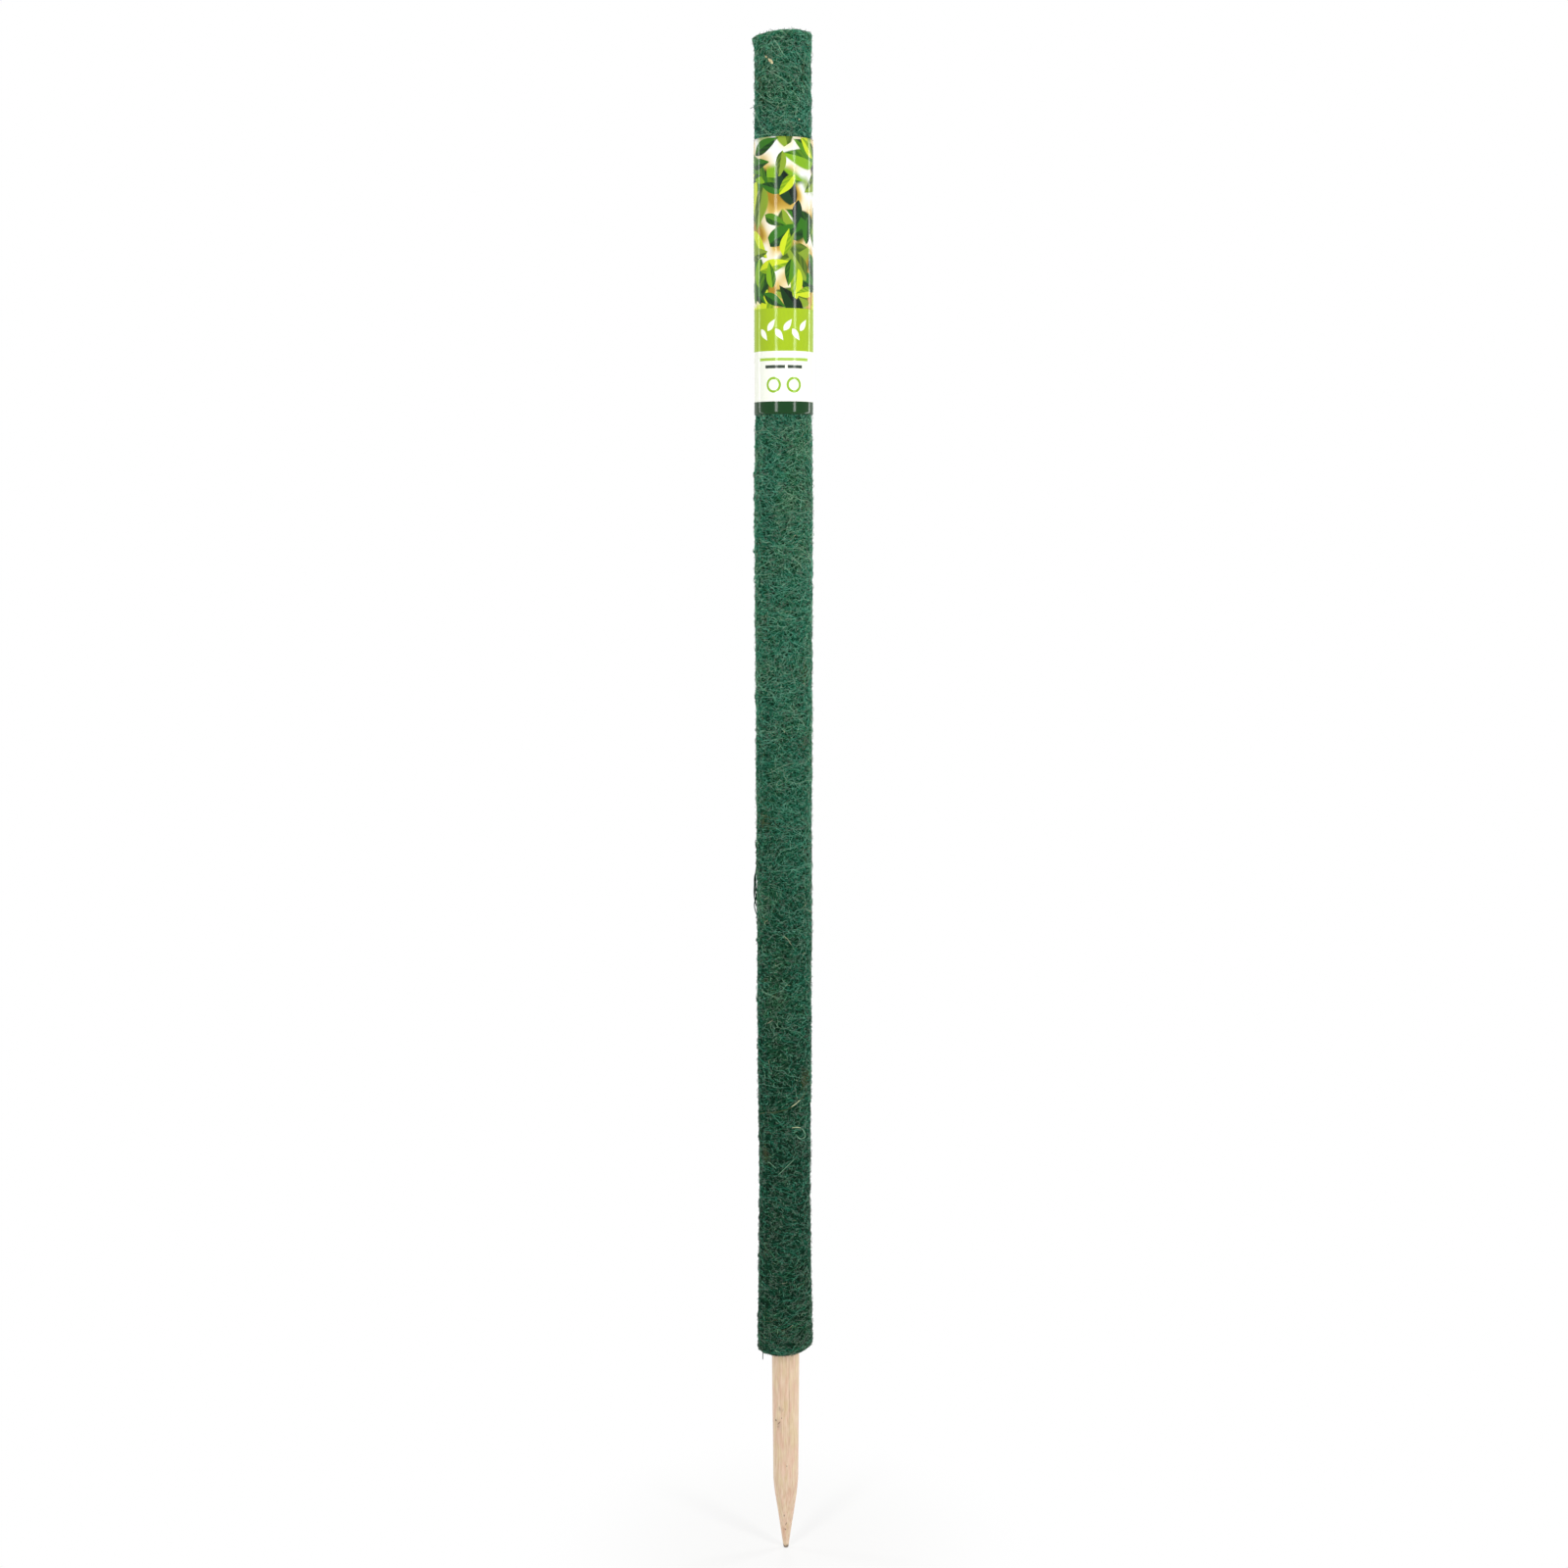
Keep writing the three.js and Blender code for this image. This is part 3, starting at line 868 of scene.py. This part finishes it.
def face_fibres(materials):
    """The loose fibres of the mat's face: fine ones, crisp ones over them and long pale ones over both."""
    layers = [face_layer(*layer) for layer in FACE_LAYERS]
    paths, thickness, shades = (np.concatenate(parts) for parts in zip(*layers))
    middle = paths[:, FIBRE_STEPS // 2, 2]
    place = np.clip((middle - mat_low) / mat_height * FACE_PIECES, 0, FACE_PIECES - 1).astype(int)
    for number in range(FACE_PIECES):
        mine = place == number
        name = f"face_fibres_{number + 1}"
        fibre_piece(name, paths[mine], outward(paths[mine]), thickness[mine], shades[mine], materials)


HAIR_SCATTER = 0.8  # radians from level
HAIR_CROWDING = 1.3  # how much denser they are towards the foot
HAIR_REACH = (2.5, 0.8, 1.7)  # off the face: spread, mean and most
HAIR_BENDS = (1.3, 3)  # radians
GREY_SHARE = 0.5
END_MARGIN = 1  # kept free of hairs and strands at both ends of the mat


def stray_hairs(materials):
    """Short hairs that stand off the face, denser towards its foot and hardly dyed: a greyish fuzz."""
    count = HAIRS.count
    each = (count, 1)
    lengths = rng.uniform(*HAIRS.lengths, count)
    along, up = wandering(lengths, HAIRS.curl, HAIR_SCATTER * rng.normal(0, 1, each))
    turns = rng.uniform(-np.pi, np.pi, each) + along / FACE_RADIUS
    middles = mat_low + mat_height * rng.random(each) ** HAIR_CROWDING
    heights = np.clip(middles + up, mat_low + END_MARGIN, mat_high - END_MARGIN)
    reach = reaches(*HAIR_REACH, each)
    bend = np.sin(rng.uniform(*HAIR_BENDS, each) * along_fibre)
    radius = mat_face(turns, heights) + reach * bend
    paths = to_space(turns, heights, under_film(heights, radius))
    grey = rng.random(count) < GREY_SHARE
    shades = np.where(grey, SHADE_NAMES.index("grey"), fibre_shades(paths, HAIRS.lightness))
    thickness = rng.uniform(*HAIRS.thickness, count)
    for number in range(HAIR_PIECES):
        mine = slice(number, None, HAIR_PIECES)
        name = f"stray_hairs_{number + 1}"
        fibre_piece(name, paths[mine], outward(paths[mine]), thickness[mine], shades[mine], materials)


STRAND_SCATTER = 0.35  # radians from level
STRAND_CROWDING = 1.4
STRAND_DEPTHS = (0.35, 0.8)
STRAND_WEAVE = 0.15
STRAND_WAVES = (1, 2.5)
STRAND_FADE = 1.2  # how much less they stand out at the rim


def level_strands(materials):
    """Long thin strands that run more or less level round the mat, palest against its dark foot."""
    count = STRANDS.count
    each = (count, 1)
    heading = STRAND_SCATTER * rng.normal(0, 1, each)
    along, up = wandering(rng.uniform(*STRANDS.lengths, count), STRANDS.curl, heading, LEVEL_STEPS)
    turns = rng.uniform(-np.pi, np.pi, each) + along / FACE_RADIUS
    place = rng.random(each) ** STRAND_CROWDING
    heights = np.clip(mat_low + mat_height * place + up, mat_low + END_MARGIN, mat_high - END_MARGIN)
    waves = rng.uniform(*STRAND_WAVES, each) * np.linspace(0, 1, LEVEL_STEPS + 1) + rng.random(each)
    depth = rng.uniform(*STRAND_DEPTHS, each) + STRAND_WEAVE * np.sin(2 * np.pi * waves)
    paths = to_space(turns, heights, under_film(heights, mat_face(turns, heights) + depth))
    shades = fibre_shades(paths, STRANDS.lightness - STRAND_FADE * place[:, 0])
    thickness = rng.uniform(*STRANDS.thickness, count)
    fibre_piece("level_strands", paths, outward(paths), thickness, shades, materials)


TUFTS = 150
TUFT_TURNS = (-104, -76)  # degrees
TUFT_MARGIN = 8  # from both ends of the mat
TUFT_REACH = (2, 0.9, 2)  # spread, mean and most
TUFT_WIDTH = 0.8
TUFT_HEIGHT = 1
TUFT_ROOT = -0.2
TUFT_BENDS = (0.6, 1.1)


def frayed_tufts(materials):
    """Tufts of dark frayed fibre down the left of the mat, bent out and back in: a ragged outline."""
    count = TUFTED.count
    each = (count, 1)
    tuft = rng.integers(0, TUFTS, each)
    along, up = wandering(rng.uniform(*TUFTED.lengths, count), TUFTED.curl, any_way(count))
    tuft_turns = np.radians(rng.uniform(*TUFT_TURNS, TUFTS))
    tuft_heights = rng.uniform(mat_low + TUFT_MARGIN, mat_high - TUFT_MARGIN, TUFTS)
    tuft_reaches = reaches(*TUFT_REACH, TUFTS)
    turns = tuft_turns[tuft] + (along + rng.normal(0, TUFT_WIDTH, each)) / FACE_RADIUS
    heights = tuft_heights[tuft] + up + rng.normal(0, TUFT_HEIGHT, each)
    bend = np.sin(np.pi * along_fibre) * rng.uniform(*TUFT_BENDS, each)
    radius = mat_face(turns, heights) + TUFT_ROOT + tuft_reaches[tuft] * bend
    paths = to_space(turns, heights, under_film(heights, radius))
    shaded_fibres("frayed_tufts", TUFTED, paths, outward(paths), materials)


EDGE_SPANS = (0.3, 0.75)  # radians
EDGE_BAND = 2.2  # how far from the corner most of the fibres lie, and the furthest
EDGE_BAND_MOST = 3
EDGE_WANDER = 0.25
EDGE_DEPTHS = (-0.5, 0.2)


def edge_fibres(materials):
    """Fibres that lie along the rim and the lower edge, close to the corner, and make it crisp."""
    count = EDGING.count
    each = (count, 1)
    _, across = wandering(rng.uniform(*EDGING.lengths, count), EDGING.curl, any_way(count))
    turns = rng.uniform(-np.pi, np.pi, each) + (along_fibre - 0.5) * rng.uniform(*EDGE_SPANS, each)
    inward = np.clip(rng.uniform(0, EDGE_BAND, each) + EDGE_WANDER * across, 0, EDGE_BAND_MOST)
    at_rim = np.arange(count)[:, None] < count // 2
    heights = np.where(at_rim, mat_high - inward, mat_low + inward)
    radius = mat_face(turns, heights) + rng.uniform(*EDGE_DEPTHS, each)
    paths = to_space(turns, heights, radius)
    shaded_fibres("edge_fibres", EDGING, paths, outward(paths), materials)


# Cut fibre ends past the rim and the lower edge: turns in degrees between which they show, and mean reach
RIM_ENDS = ((-60, 210), 0.9)
LOWER_ENDS = ((-180, 40), 1.0)
CUT_REACH_SPREAD = 2.5
CUT_REACH_MOST = 2.4  # times the mean
CUT_DEPTH = 1.6


def cut_ends(materials, name, height, up, turn_range, mean_reach):
    """Cut fibre ends that stand out past one end of the roll; up is 1 at the rim and -1 at the lower edge."""
    each = (CUT.count, 1)
    turns = np.radians(rng.uniform(*turn_range, each)) + rng.normal(0, CUT.curl, each) * along_fibre ** 2
    beyond = reaches(CUT_REACH_SPREAD, mean_reach, CUT_REACH_MOST * mean_reach, each)
    heights = height + up * (beyond - rng.uniform(*CUT.lengths, each) * (1 - along_fibre))
    radius = mat_face(turns, np.clip(heights, mat_low, mat_high)) + rng.uniform(-CUT_DEPTH, 0, each)
    paths = to_space(turns, heights, radius)
    shaded_fibres(name, CUT, paths, outward(paths), materials)


RIM_INSET = 0.8  # from the mat's face to the outermost fibres on its end
LOWER_INSET = 1.8
OUTER_TURN_SHARE = 0.6  # of the fibres lie on the roll's outer turn
GAP_CLEARANCE = 0.5  # kept on each side of the gap between the turns
CORE_CLEARANCE = 0.3
END_WANDER = 0.5
END_LIFTS = (-0.2, 0.5)
END_WEAVE = 0.15
END_WAVES = 1.5


def end_face_fibres(materials, name, height, up, outer_radius):
    """Fibres round both turns of the roll on a cut end; up is 1 on the rim and -1 on the lower end."""
    count = END_FACE.count
    each = (count, 1)
    outer_turn = rng.random(each) < OUTER_TURN_SHARE
    inside = np.where(outer_turn, ROLL_GAP_RADIUS + GAP_CLEARANCE, ROLL_INNER_RADIUS + CORE_CLEARANCE)
    outside = np.where(outer_turn, outer_radius, ROLL_GAP_RADIUS - GAP_CLEARANCE)
    along, across = wandering(rng.uniform(*END_FACE.lengths, count), END_FACE.curl, any_way(count))
    middle = inside + (outside - inside) * rng.random(each)
    radius = np.clip(middle + END_WANDER * across, inside, outside)
    turns = rng.uniform(-np.pi, np.pi, each) + along / middle
    lift = rng.uniform(*END_LIFTS, each)
    lift = lift + END_WEAVE * np.sin(2 * np.pi * (END_WAVES * along_fibre + rng.random(each)))
    paths = to_space(turns, height + up * lift, radius)
    facing = np.broadcast_to([0.0, 0.0, float(up)], paths.shape)
    shaded_fibres(name, END_FACE, paths, facing, materials)


RECESS_FLOOR_GAP = 0.5
RECESS_RIM_GAP = 0.3
RECESS_PILE = 0.35


def recess_fibres(materials):
    """Fibres on the wall of the hollow above the stake's sawn end, drawn darker as painted shade in the
    hollow.
    """
    count = RECESS.count
    each = (count, 1)
    along, up = wandering(rng.uniform(*RECESS.lengths, count), RECESS.curl, any_way(count))
    turns = rng.uniform(-np.pi, np.pi, each) + along / ROLL_INNER_RADIUS
    heights = rng.uniform(stake_high, mat_high, each) + up
    heights = np.clip(heights, stake_high + RECESS_FLOOR_GAP, mat_high - RECESS_RIM_GAP)
    radius = np.full_like(turns, ROLL_INNER_RADIUS) - rng.uniform(0, RECESS_PILE, each)
    paths = to_space(turns, heights, radius)
    shaded_fibres("recess_fibres", RECESS, paths, -outward(paths), materials)


# Strands that stand out from the rest: shade, thickness, and points along each as turn in degrees, height and
# lift off the face
LAID_STRANDS = [
    (
        "olive",
        0.8,
        [(-90, 190, 0.4), (-55, 196, 0.5), (-19, 198.6, 0.5), (15, 203, 0.5), (33, 207, 0.5), (60, 215, 0.4)],
    ),
    ("straw", 1.0, [(14, 203, 0.6), (24, 205, 0.7), (36, 208, 0.5)]),
    ("straw", 0.8, [(15, 186, 0.5), (26, 186, 0.6), (37, 185, 0.6)]),
    ("leaf_pale", 0.7, [(37, 185, 0.5), (48, 181, 0.6), (52, 177, 0.6), (37, 176, 0.6), (24, 180, 0.4)]),
    ("leaf_pale", 0.6, [(-18, 1020, 0.5), (-8, 1014, 0.6), (1, 1008, 0.5)]),
    ("leaf_pale", 0.6, [(-36, 999, 0.5), (-14, 994, 0.6), (9, 988, 0.5)]),
    ("leaf_pale", 0.6, [(23, 981, 0.5), (30, 978, 0.6), (37, 975, 0.5)]),
    ("leaf_pale", 0.6, [(22, 160, 0.5), (3, 154, 0.6), (-17, 147, 0.5)]),
    ("leaf_pale", 0.6, [(-43, 157, 0.5), (-32, 155, 0.6), (-21, 152, 0.5)]),
    ("leaf_pale", 0.9, [(-25, 5, 0.3), (-20, 4.2, 0.6), (-14, 3.6, 0.3)]),
    ("teal_deep", 1.3, [(-86, 358, 0), (-89, 364, 2.0), (-91, 373, 3.0), (-90, 384, 2.6), (-87, 391, 0.2)]),
    ("leaf_deep", 1.2, [(-88, 363, 0), (-90, 368, 1.4), (-92, 377, 2.2), (-90, 388, 1.6), (-86, 396, 0.2)]),
    ("teal_deep", 1.2, [(-84, 371, 0), (-88, 376, 1.8), (-90, 381, 3.1), (-89, 387, 1.0), (-87, 389, 0)]),
    ("teal_deep", 1.1, [(-85, 352, 0), (-89, 357, 2.2), (-90, 362, 2.9), (-89, 369, 1.2), (-86, 374, 0)]),
    ("teal_dark", 0.5, [(-84, 973, 0), (-88, 974, 1.5), (-89, 973.5, 3.0), (-90, 973, 4.2)]),
    ("leaf_deep", 0.7, [(-60, 3, -0.3), (-60, 0, 0), (-60, -3, 0.1), (-59, -6.5, 0.4)]),
]


def laid_strands(materials):
    """The strands that stand out, each a smooth curve through its points."""
    paths = []
    for _, _, points in LAID_STRANDS:
        knots = np.array(points, float)
        steps = np.hypot(np.diff(np.radians(knots[:, 0])) * FACE_RADIUS, np.diff(knots[:, 1]))
        along = np.concatenate([[0], np.cumsum(steps)])
        bends = np.gradient(knots, along, axis=0)
        at = np.linspace(0, along[-1], LAID_STEPS + 1)
        left = np.clip(np.searchsorted(along, at) - 1, 0, len(along) - 2)
        span = (along[left + 1] - along[left])[:, None]
        part = (at - along[left])[:, None] / span
        smooth = part ** 2 * (3 - 2 * part)
        curve = knots[left] * (1 - smooth) + knots[left + 1] * smooth
        curve += span * (bends[left] * part * (1 - part) ** 2 - bends[left + 1] * part ** 2 * (1 - part))
        turn = np.radians(curve[:, 0])
        paths.append(to_space(turn, curve[:, 1], mat_face(turn, curve[:, 1]) + curve[:, 2]))
    paths = np.array(paths)
    thickness = np.array([strand[1] for strand in LAID_STRANDS])
    shades = np.array([SHADE_NAMES.index(strand[0]) for strand in LAID_STRANDS])
    fibre_piece("laid_strands", paths, outward(paths), thickness, shades, materials)


# Husk flakes: turn in degrees, height, length, width, lean in degrees
HUSK_FLAKES = [(-26, 1004.7, 5.8, 2.3, -48), (-37, 1008.6, 2.0, 1.2, -60), (34, 962, 1.6, 0.9, 30)]
# Outline of a flake, in half lengths and half widths
FLAKE_OUTLINE = [(-1, 0), (-0.6, -0.8), (0.5, -1), (1, -0.2), (0.75, 0.6), (-0.4, 1)]
FLAKE_LIFT = 0.2
FLAKE_THICKNESS = 0.5


def husk_flakes(material):
    """Flat pointed flakes of husk that lie on the fibres and follow the mat's round."""
    outline = np.array(FLAKE_OUTLINE) / 2
    corners = len(outline)
    ring = np.arange(corners)
    points, sides, ends = [], [], []
    for turn, height, length, width, lean in HUSK_FLAKES:
        cos, sin = math.cos(math.radians(lean)), math.sin(math.radians(lean))
        along, across = outline[:, 0] * length, outline[:, 1] * width
        turns = math.radians(turn) + (along * cos - across * sin) / FACE_RADIUS
        heights = height + along * sin + across * cos
        low = len(points) * corners + ring
        high = low + corners
        for lift in (FLAKE_LIFT, FLAKE_LIFT + FLAKE_THICKNESS):
            points.append(to_space(turns, heights, mat_face(turns, heights) + lift))
        sides.append(np.stack([low, np.roll(low, -1), np.roll(high, -1), high], axis=-1))
        ends += [low[::-1][None], high[None]]
    faces = [np.concatenate(sides), np.concatenate(ends)]
    mesh = mesh_from("husk_flakes", np.concatenate(points), faces, [material])
    mesh.polygons.foreach_set("use_smooth", np.full(len(mesh.polygons), False))
    piece_from(mesh, "pole")


SKIN_DEPTH = 0.15  # CAD points this near its outer face belong to it
RAY_MARGIN = 0.05  # rays keep this far from the roll's ends


def felt_roll(material):
    """The dense felt: the CAD roll, let in by the depth of the loose fibres on its outer face."""
    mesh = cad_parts["coir_mat"].data.copy()
    mesh.name = "felt_roll"
    points = np.empty(len(mesh.vertices) * 3, np.float32)
    mesh.vertices.foreach_get("co", points)
    points = points.reshape(-1, 3) / MM
    turn = np.arctan2(points[:, 0], -points[:, 1])
    height = points[:, 2]
    radius = np.hypot(points[:, 0], points[:, 1])
    cad_face = measured_radii("coir_mat", turn, np.clip(height, mat_low + RAY_MARGIN, mat_high - RAY_MARGIN))
    radius = np.where(radius > cad_face - SKIN_DEPTH, mat_face(turn, height) - FELT_DEPTH, radius)
    mesh.vertices.foreach_set("co", (to_space(turn, height, radius) * MM).astype(np.float32).ravel())
    mesh.materials.clear()
    mesh.materials.append(material)
    mesh.update()
    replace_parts(piece_from(mesh, "pole"), "coir_mat")


def grid_faces(rows, columns, closed):
    """Quads of a grid of points, row by row, whose columns may close on themselves."""
    index = np.arange(rows * columns).reshape(rows, columns)
    right = np.roll(index, -1, axis=1)
    if not closed:
        index, right = index[:, :-1], right[:, :-1]
    return np.stack([index[:-1], right[:-1], right[1:], index[1:]], axis=-1).reshape(-1, 4)


STAKE_COLUMNS = 96
TIP_LEVELS = [0.05, 0.25, 0.6, 1.1, 1.6, 2.2]  # rows of points above the tip, and below the sawn end
SAWN_LEVELS = [1, 0.7, 0.4, 0.05]
TIP_LENGTH = 3
POINT_STEP = 1
SHAFT_STEP = 6
CAD_SIDES = 32  # of the CAD stake, whose corners give the radius
SWELL_START = 10  # below the point's shoulder
SWELL_END = 12  # above the mat's lower edge
GRAIN_RELIEF = 0.035
GRAIN_WAVES = (5, 11, 17, 26, 37)
FLUTE_DEPTH = 0.12
FLUTES = 7
FLUTE_TWIST = 9
FLUTES_FADE = (0.7 * POINT_LENGTH, POINT_LENGTH + 6)
FULL_RELIEF_RADIUS = 6


def turned_stake(material):
    """The stake, revolved on the CAD profile, with raised grain and faint cutter flutes on its point."""
    shoulder = stake_low + POINT_LENGTH
    levels = np.concatenate([
        stake_low + np.array(TIP_LEVELS),
        np.arange(stake_low + TIP_LENGTH, shoulder, POINT_STEP),
        np.arange(shoulder, stake_high - SAWN_LEVELS[0], SHAFT_STEP),
        stake_high - np.array(SAWN_LEVELS),
    ])
    facet = np.linspace(0, 2 * np.pi / CAD_SIDES, 5)
    profile = measured_radii("stake", *np.broadcast_arrays(facet[None, :], levels[:, None])).max(axis=1)
    bare = rise(levels, shoulder - SWELL_START, mat_low) - rise(levels, mat_low, mat_low + SWELL_END)
    profile = profile + STAKE_SWELL * bare
    turns = np.linspace(0, 2 * np.pi, STAKE_COLUMNS, endpoint=False)
    raised = sum(GRAIN_RELIEF * np.sin(waves * turns + rng.uniform(0, 2 * np.pi)) for waves in GRAIN_WAVES)
    on_point = 1 - rise(levels, stake_low + FLUTES_FADE[0], stake_low + FLUTES_FADE[1])
    flutes = FLUTE_DEPTH * np.sin(FLUTES * turns[None, :] + levels[:, None] / FLUTE_TWIST)
    fullness = np.minimum(1, profile / FULL_RELIEF_RADIUS)[:, None]
    radius = profile[:, None] + fullness * (raised[None, :] + on_point[:, None] * flutes)
    height = np.broadcast_to(levels[:, None], radius.shape)
    points = np.stack([radius * np.sin(turns), -radius * np.cos(turns), height], axis=-1).reshape(-1, 3)
    tip = np.arange(STAKE_COLUMNS)[::-1]
    top = np.arange(STAKE_COLUMNS) + (len(levels) - 1) * STAKE_COLUMNS
    faces = [grid_faces(len(levels), STAKE_COLUMNS, True), np.stack([tip, top])]
    piece = piece_from(mesh_from("turned_stake", points, faces, [material]), "pole")
    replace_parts(piece, "stake")


FILM_ROWS = 83
FILM_COLUMNS = 220
FILM_WAVES = range(2, 8)  # waves round the film
FILM_WAVE_HEIGHT = 0.022
FILM_WAVE_LENGTHS = (70, 180)  # up the film
FILM_FLAT = 2.5  # half laps from the middle of the closing lap, where the waves begin to fade
LAP_LIFT = 0.25
LAP_CLIMB = 0.2  # radians


def film_sleeve(printed, back):
    """The sleeve: one strip of film, closed with a lap at the back, slightly uneven over the soft mat."""
    rows, columns = FILM_ROWS, FILM_COLUMNS
    half_lap = FILM_LAP / sleeve_radius / 2
    lap_start = np.pi - half_lap
    turns = np.linspace(-np.pi - half_lap, np.pi + half_lap, columns)
    levels = np.linspace(sleeve_low, sleeve_high, rows)
    over = rise(turns, lap_start - LAP_CLIMB, lap_start)
    uneven = np.zeros((rows, columns))
    for waves in FILM_WAVES:
        rising = 2 * np.pi * levels[:, None] / rng.uniform(*FILM_WAVE_LENGTHS)
        uneven += FILM_WAVE_HEIGHT * np.sin(waves * turns[None, :] + rising + rng.uniform(0, 2 * np.pi))
    uneven *= 1 - rise(np.abs(turns), np.pi - FILM_FLAT * half_lap, lap_start)
    outer = sleeve_radius - FILM_LET_IN + uneven + LAP_LIFT * over
    up = np.broadcast_to(levels[:, None], outer.shape)
    skins = [
        np.stack([radius * np.sin(turns), -radius * np.cos(turns), up], axis=-1).reshape(-1, 3)
        for radius in (outer, outer - FILM_THICKNESS)
    ]
    outside = grid_faces(rows, columns, False)
    inside = outside[:, ::-1] + rows * columns
    index = np.arange(rows * columns).reshape(rows, columns)
    border = np.concatenate([index[0], index[1:, -1], index[-1, -2::-1], index[-2:0:-1, 0]])
    following = np.roll(border, -1)
    edges = np.stack([border, border + rows * columns, following + rows * columns, following], axis=-1)
    shades = np.repeat([0, 1, 0], [len(outside), len(inside), len(edges)])
    mesh = mesh_from("film_sleeve", np.concatenate(skins), [outside, inside, edges], [printed, back], shades)
    flat = np.stack(np.broadcast_arrays(turns * sleeve_radius, levels[:, None] - sleeve_low), axis=-1)
    flat = np.concatenate([flat.reshape(-1, 2)] * 2)
    corners = np.empty(len(mesh.loops), np.int32)
    mesh.loops.foreach_get("vertex_index", corners)
    mesh.uv_layers.new(name="film").data.foreach_set("uv", flat[corners].astype(np.float32).ravel())
    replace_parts(piece_from(mesh, "sleeve"), "label_sleeve")


# Studio


def seen_rays(tree):
    """1 for rays that show the background: from the camera, off gloss and through what is clear."""
    rays = add(tree, "LightPath").outputs
    seen = add(tree, "Math", {0: rays["Is Camera Ray"], 1: rays["Is Glossy Ray"]}, operation="ADD")
    shown = {0: seen, 1: rays["Is Transmission Ray"]}
    return add(tree, "Math", shown, operation="ADD", use_clamp=True)


def paper_floor():
    """White paper under the tip: plain white far off, with the pole's soft shadow near it."""
    half = FLOOR_SIZE / 2 * MM
    level = stake_low * MM
    corners = [(-half, -half, level), (half, -half, level), (half, half, level), (-half, half, level)]
    mesh = bpy.data.meshes.new("floor")
    mesh.from_pydata(corners, [], [(0, 1, 2, 3)])
    floor = bpy.data.objects.new("floor", mesh)
    bpy.context.scene.collection.objects.link(floor)
    material, tree = new_material("paper_white")
    place = add(tree, "TexCoord").outputs["Object"]
    away = add(tree, "VectorMath", {0: place, 1: (0, 0, level)}, operation="DISTANCE")
    plain = add(
        tree,
        "MapRange",
        {
            "Value": away.outputs["Value"],
            "From Min": FLOOR_SHADE_FADE[0] * MM,
            "From Max": FLOOR_SHADE_FADE[1] * MM,
            "To Min": 1 - FLOOR_SHADE,
            "To Max": 1.0,
        },
        interpolation_type="SMOOTHSTEP",
    )
    white = add(tree, "Math", {0: seen_rays(tree), 1: plain}, operation="MULTIPLY")
    matt = add(tree, "BsdfDiffuse", {"Color": "#f2f2f0"})
    glow = add(tree, "Emission", {"Color": "#ffffff", "Strength": 1.0})
    mixed = add(tree, "MixShader", {0: white, 1: matt, 2: glow})
    add(tree, "OutputMaterial", {"Surface": mixed})
    mesh.materials.append(material)


def white_room():
    """A plain white room, which is seen as white and lights the pole softly from all sides."""
    world = bpy.data.worlds.new("white_room")
    bpy.context.scene.world = world
    world.use_nodes = True
    tree = world.node_tree
    tree.nodes.clear()
    strength = add(tree, "Mix", {"Factor": seen_rays(tree), "A": ROOM_LIGHT, "B": 1.0})
    background = add(tree, "Background", {"Color": "#ffffff", "Strength": strength})
    add(tree, "OutputWorld", {"Surface": background})


def strip_lights():
    """Tall soft strips all round, whose reflections are the upright streaks on the film."""
    for name, (degrees, distance, width, low, high, radiance) in STRIPS.items():
        lamp = bpy.data.lights.new(name, "AREA")
        lamp.shape = "RECTANGLE"
        lamp.size = width * MM
        lamp.size_y = (high - low) * MM
        area = lamp.size * lamp.size_y
        lamp.energy = 4 * area * radiance  # a flat lamp's radiance is a quarter of its energy per area
        strip = bpy.data.objects.new(name, lamp)
        turn = math.radians(degrees)
        strip.location = Vector((math.sin(turn), -math.cos(turn), 0)) * distance * MM
        strip.location.z = (low + high) / 2 * MM
        strip.rotation_euler = (math.pi / 2, 0, turn)
        strip.visible_camera = False
        bpy.context.scene.collection.objects.link(strip)


def camera_view():
    """The camera, at the photograph's height, distance and angle."""
    lens = bpy.data.cameras.new("camera")
    lens.lens = LENS
    lens.sensor_width = SENSOR
    camera = bpy.data.objects.new("camera", lens)
    camera.location = (0, -CAMERA_DISTANCE * MM, CAMERA_HEIGHT * MM)
    camera.rotation_euler = (math.pi / 2 + math.radians(CAMERA_PITCH), math.radians(CAMERA_ROLL), 0)
    bpy.context.scene.collection.objects.link(camera)
    bpy.context.scene.camera = camera
    bpy.context.scene.view_settings.view_transform = "Standard"


camera_view()
white_room()
paper_floor()
strip_lights()

fibre_materials = coir_fibres_dyed()
turned_stake(softwood_turned())
felt_roll(coir_felt_needled())
face_fibres(fibre_materials)
stray_hairs(fibre_materials)
frayed_tufts(fibre_materials)
edge_fibres(fibre_materials)
cut_ends(fibre_materials, "rim_ends", mat_high, 1, *RIM_ENDS)
cut_ends(fibre_materials, "lower_ends", mat_low, -1, *LOWER_ENDS)
end_face_fibres(fibre_materials, "rim_face_fibres", mat_high, 1, FACE_RADIUS - RIM_INSET)
end_face_fibres(fibre_materials, "lower_face_fibres", mat_low, -1, FACE_RADIUS - LOWER_INSET)
recess_fibres(fibre_materials)
laid_strands(fibre_materials)
husk_flakes(coir_husk_dry())
film_sleeve(printed_film(), film_back())
level_strands(fibre_materials)
glue = glue_dried()
for node in ("stake_glue_line", "seam_glue_line"):
    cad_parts[node].data.materials.clear()
    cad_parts[node].data.materials.append(glue)
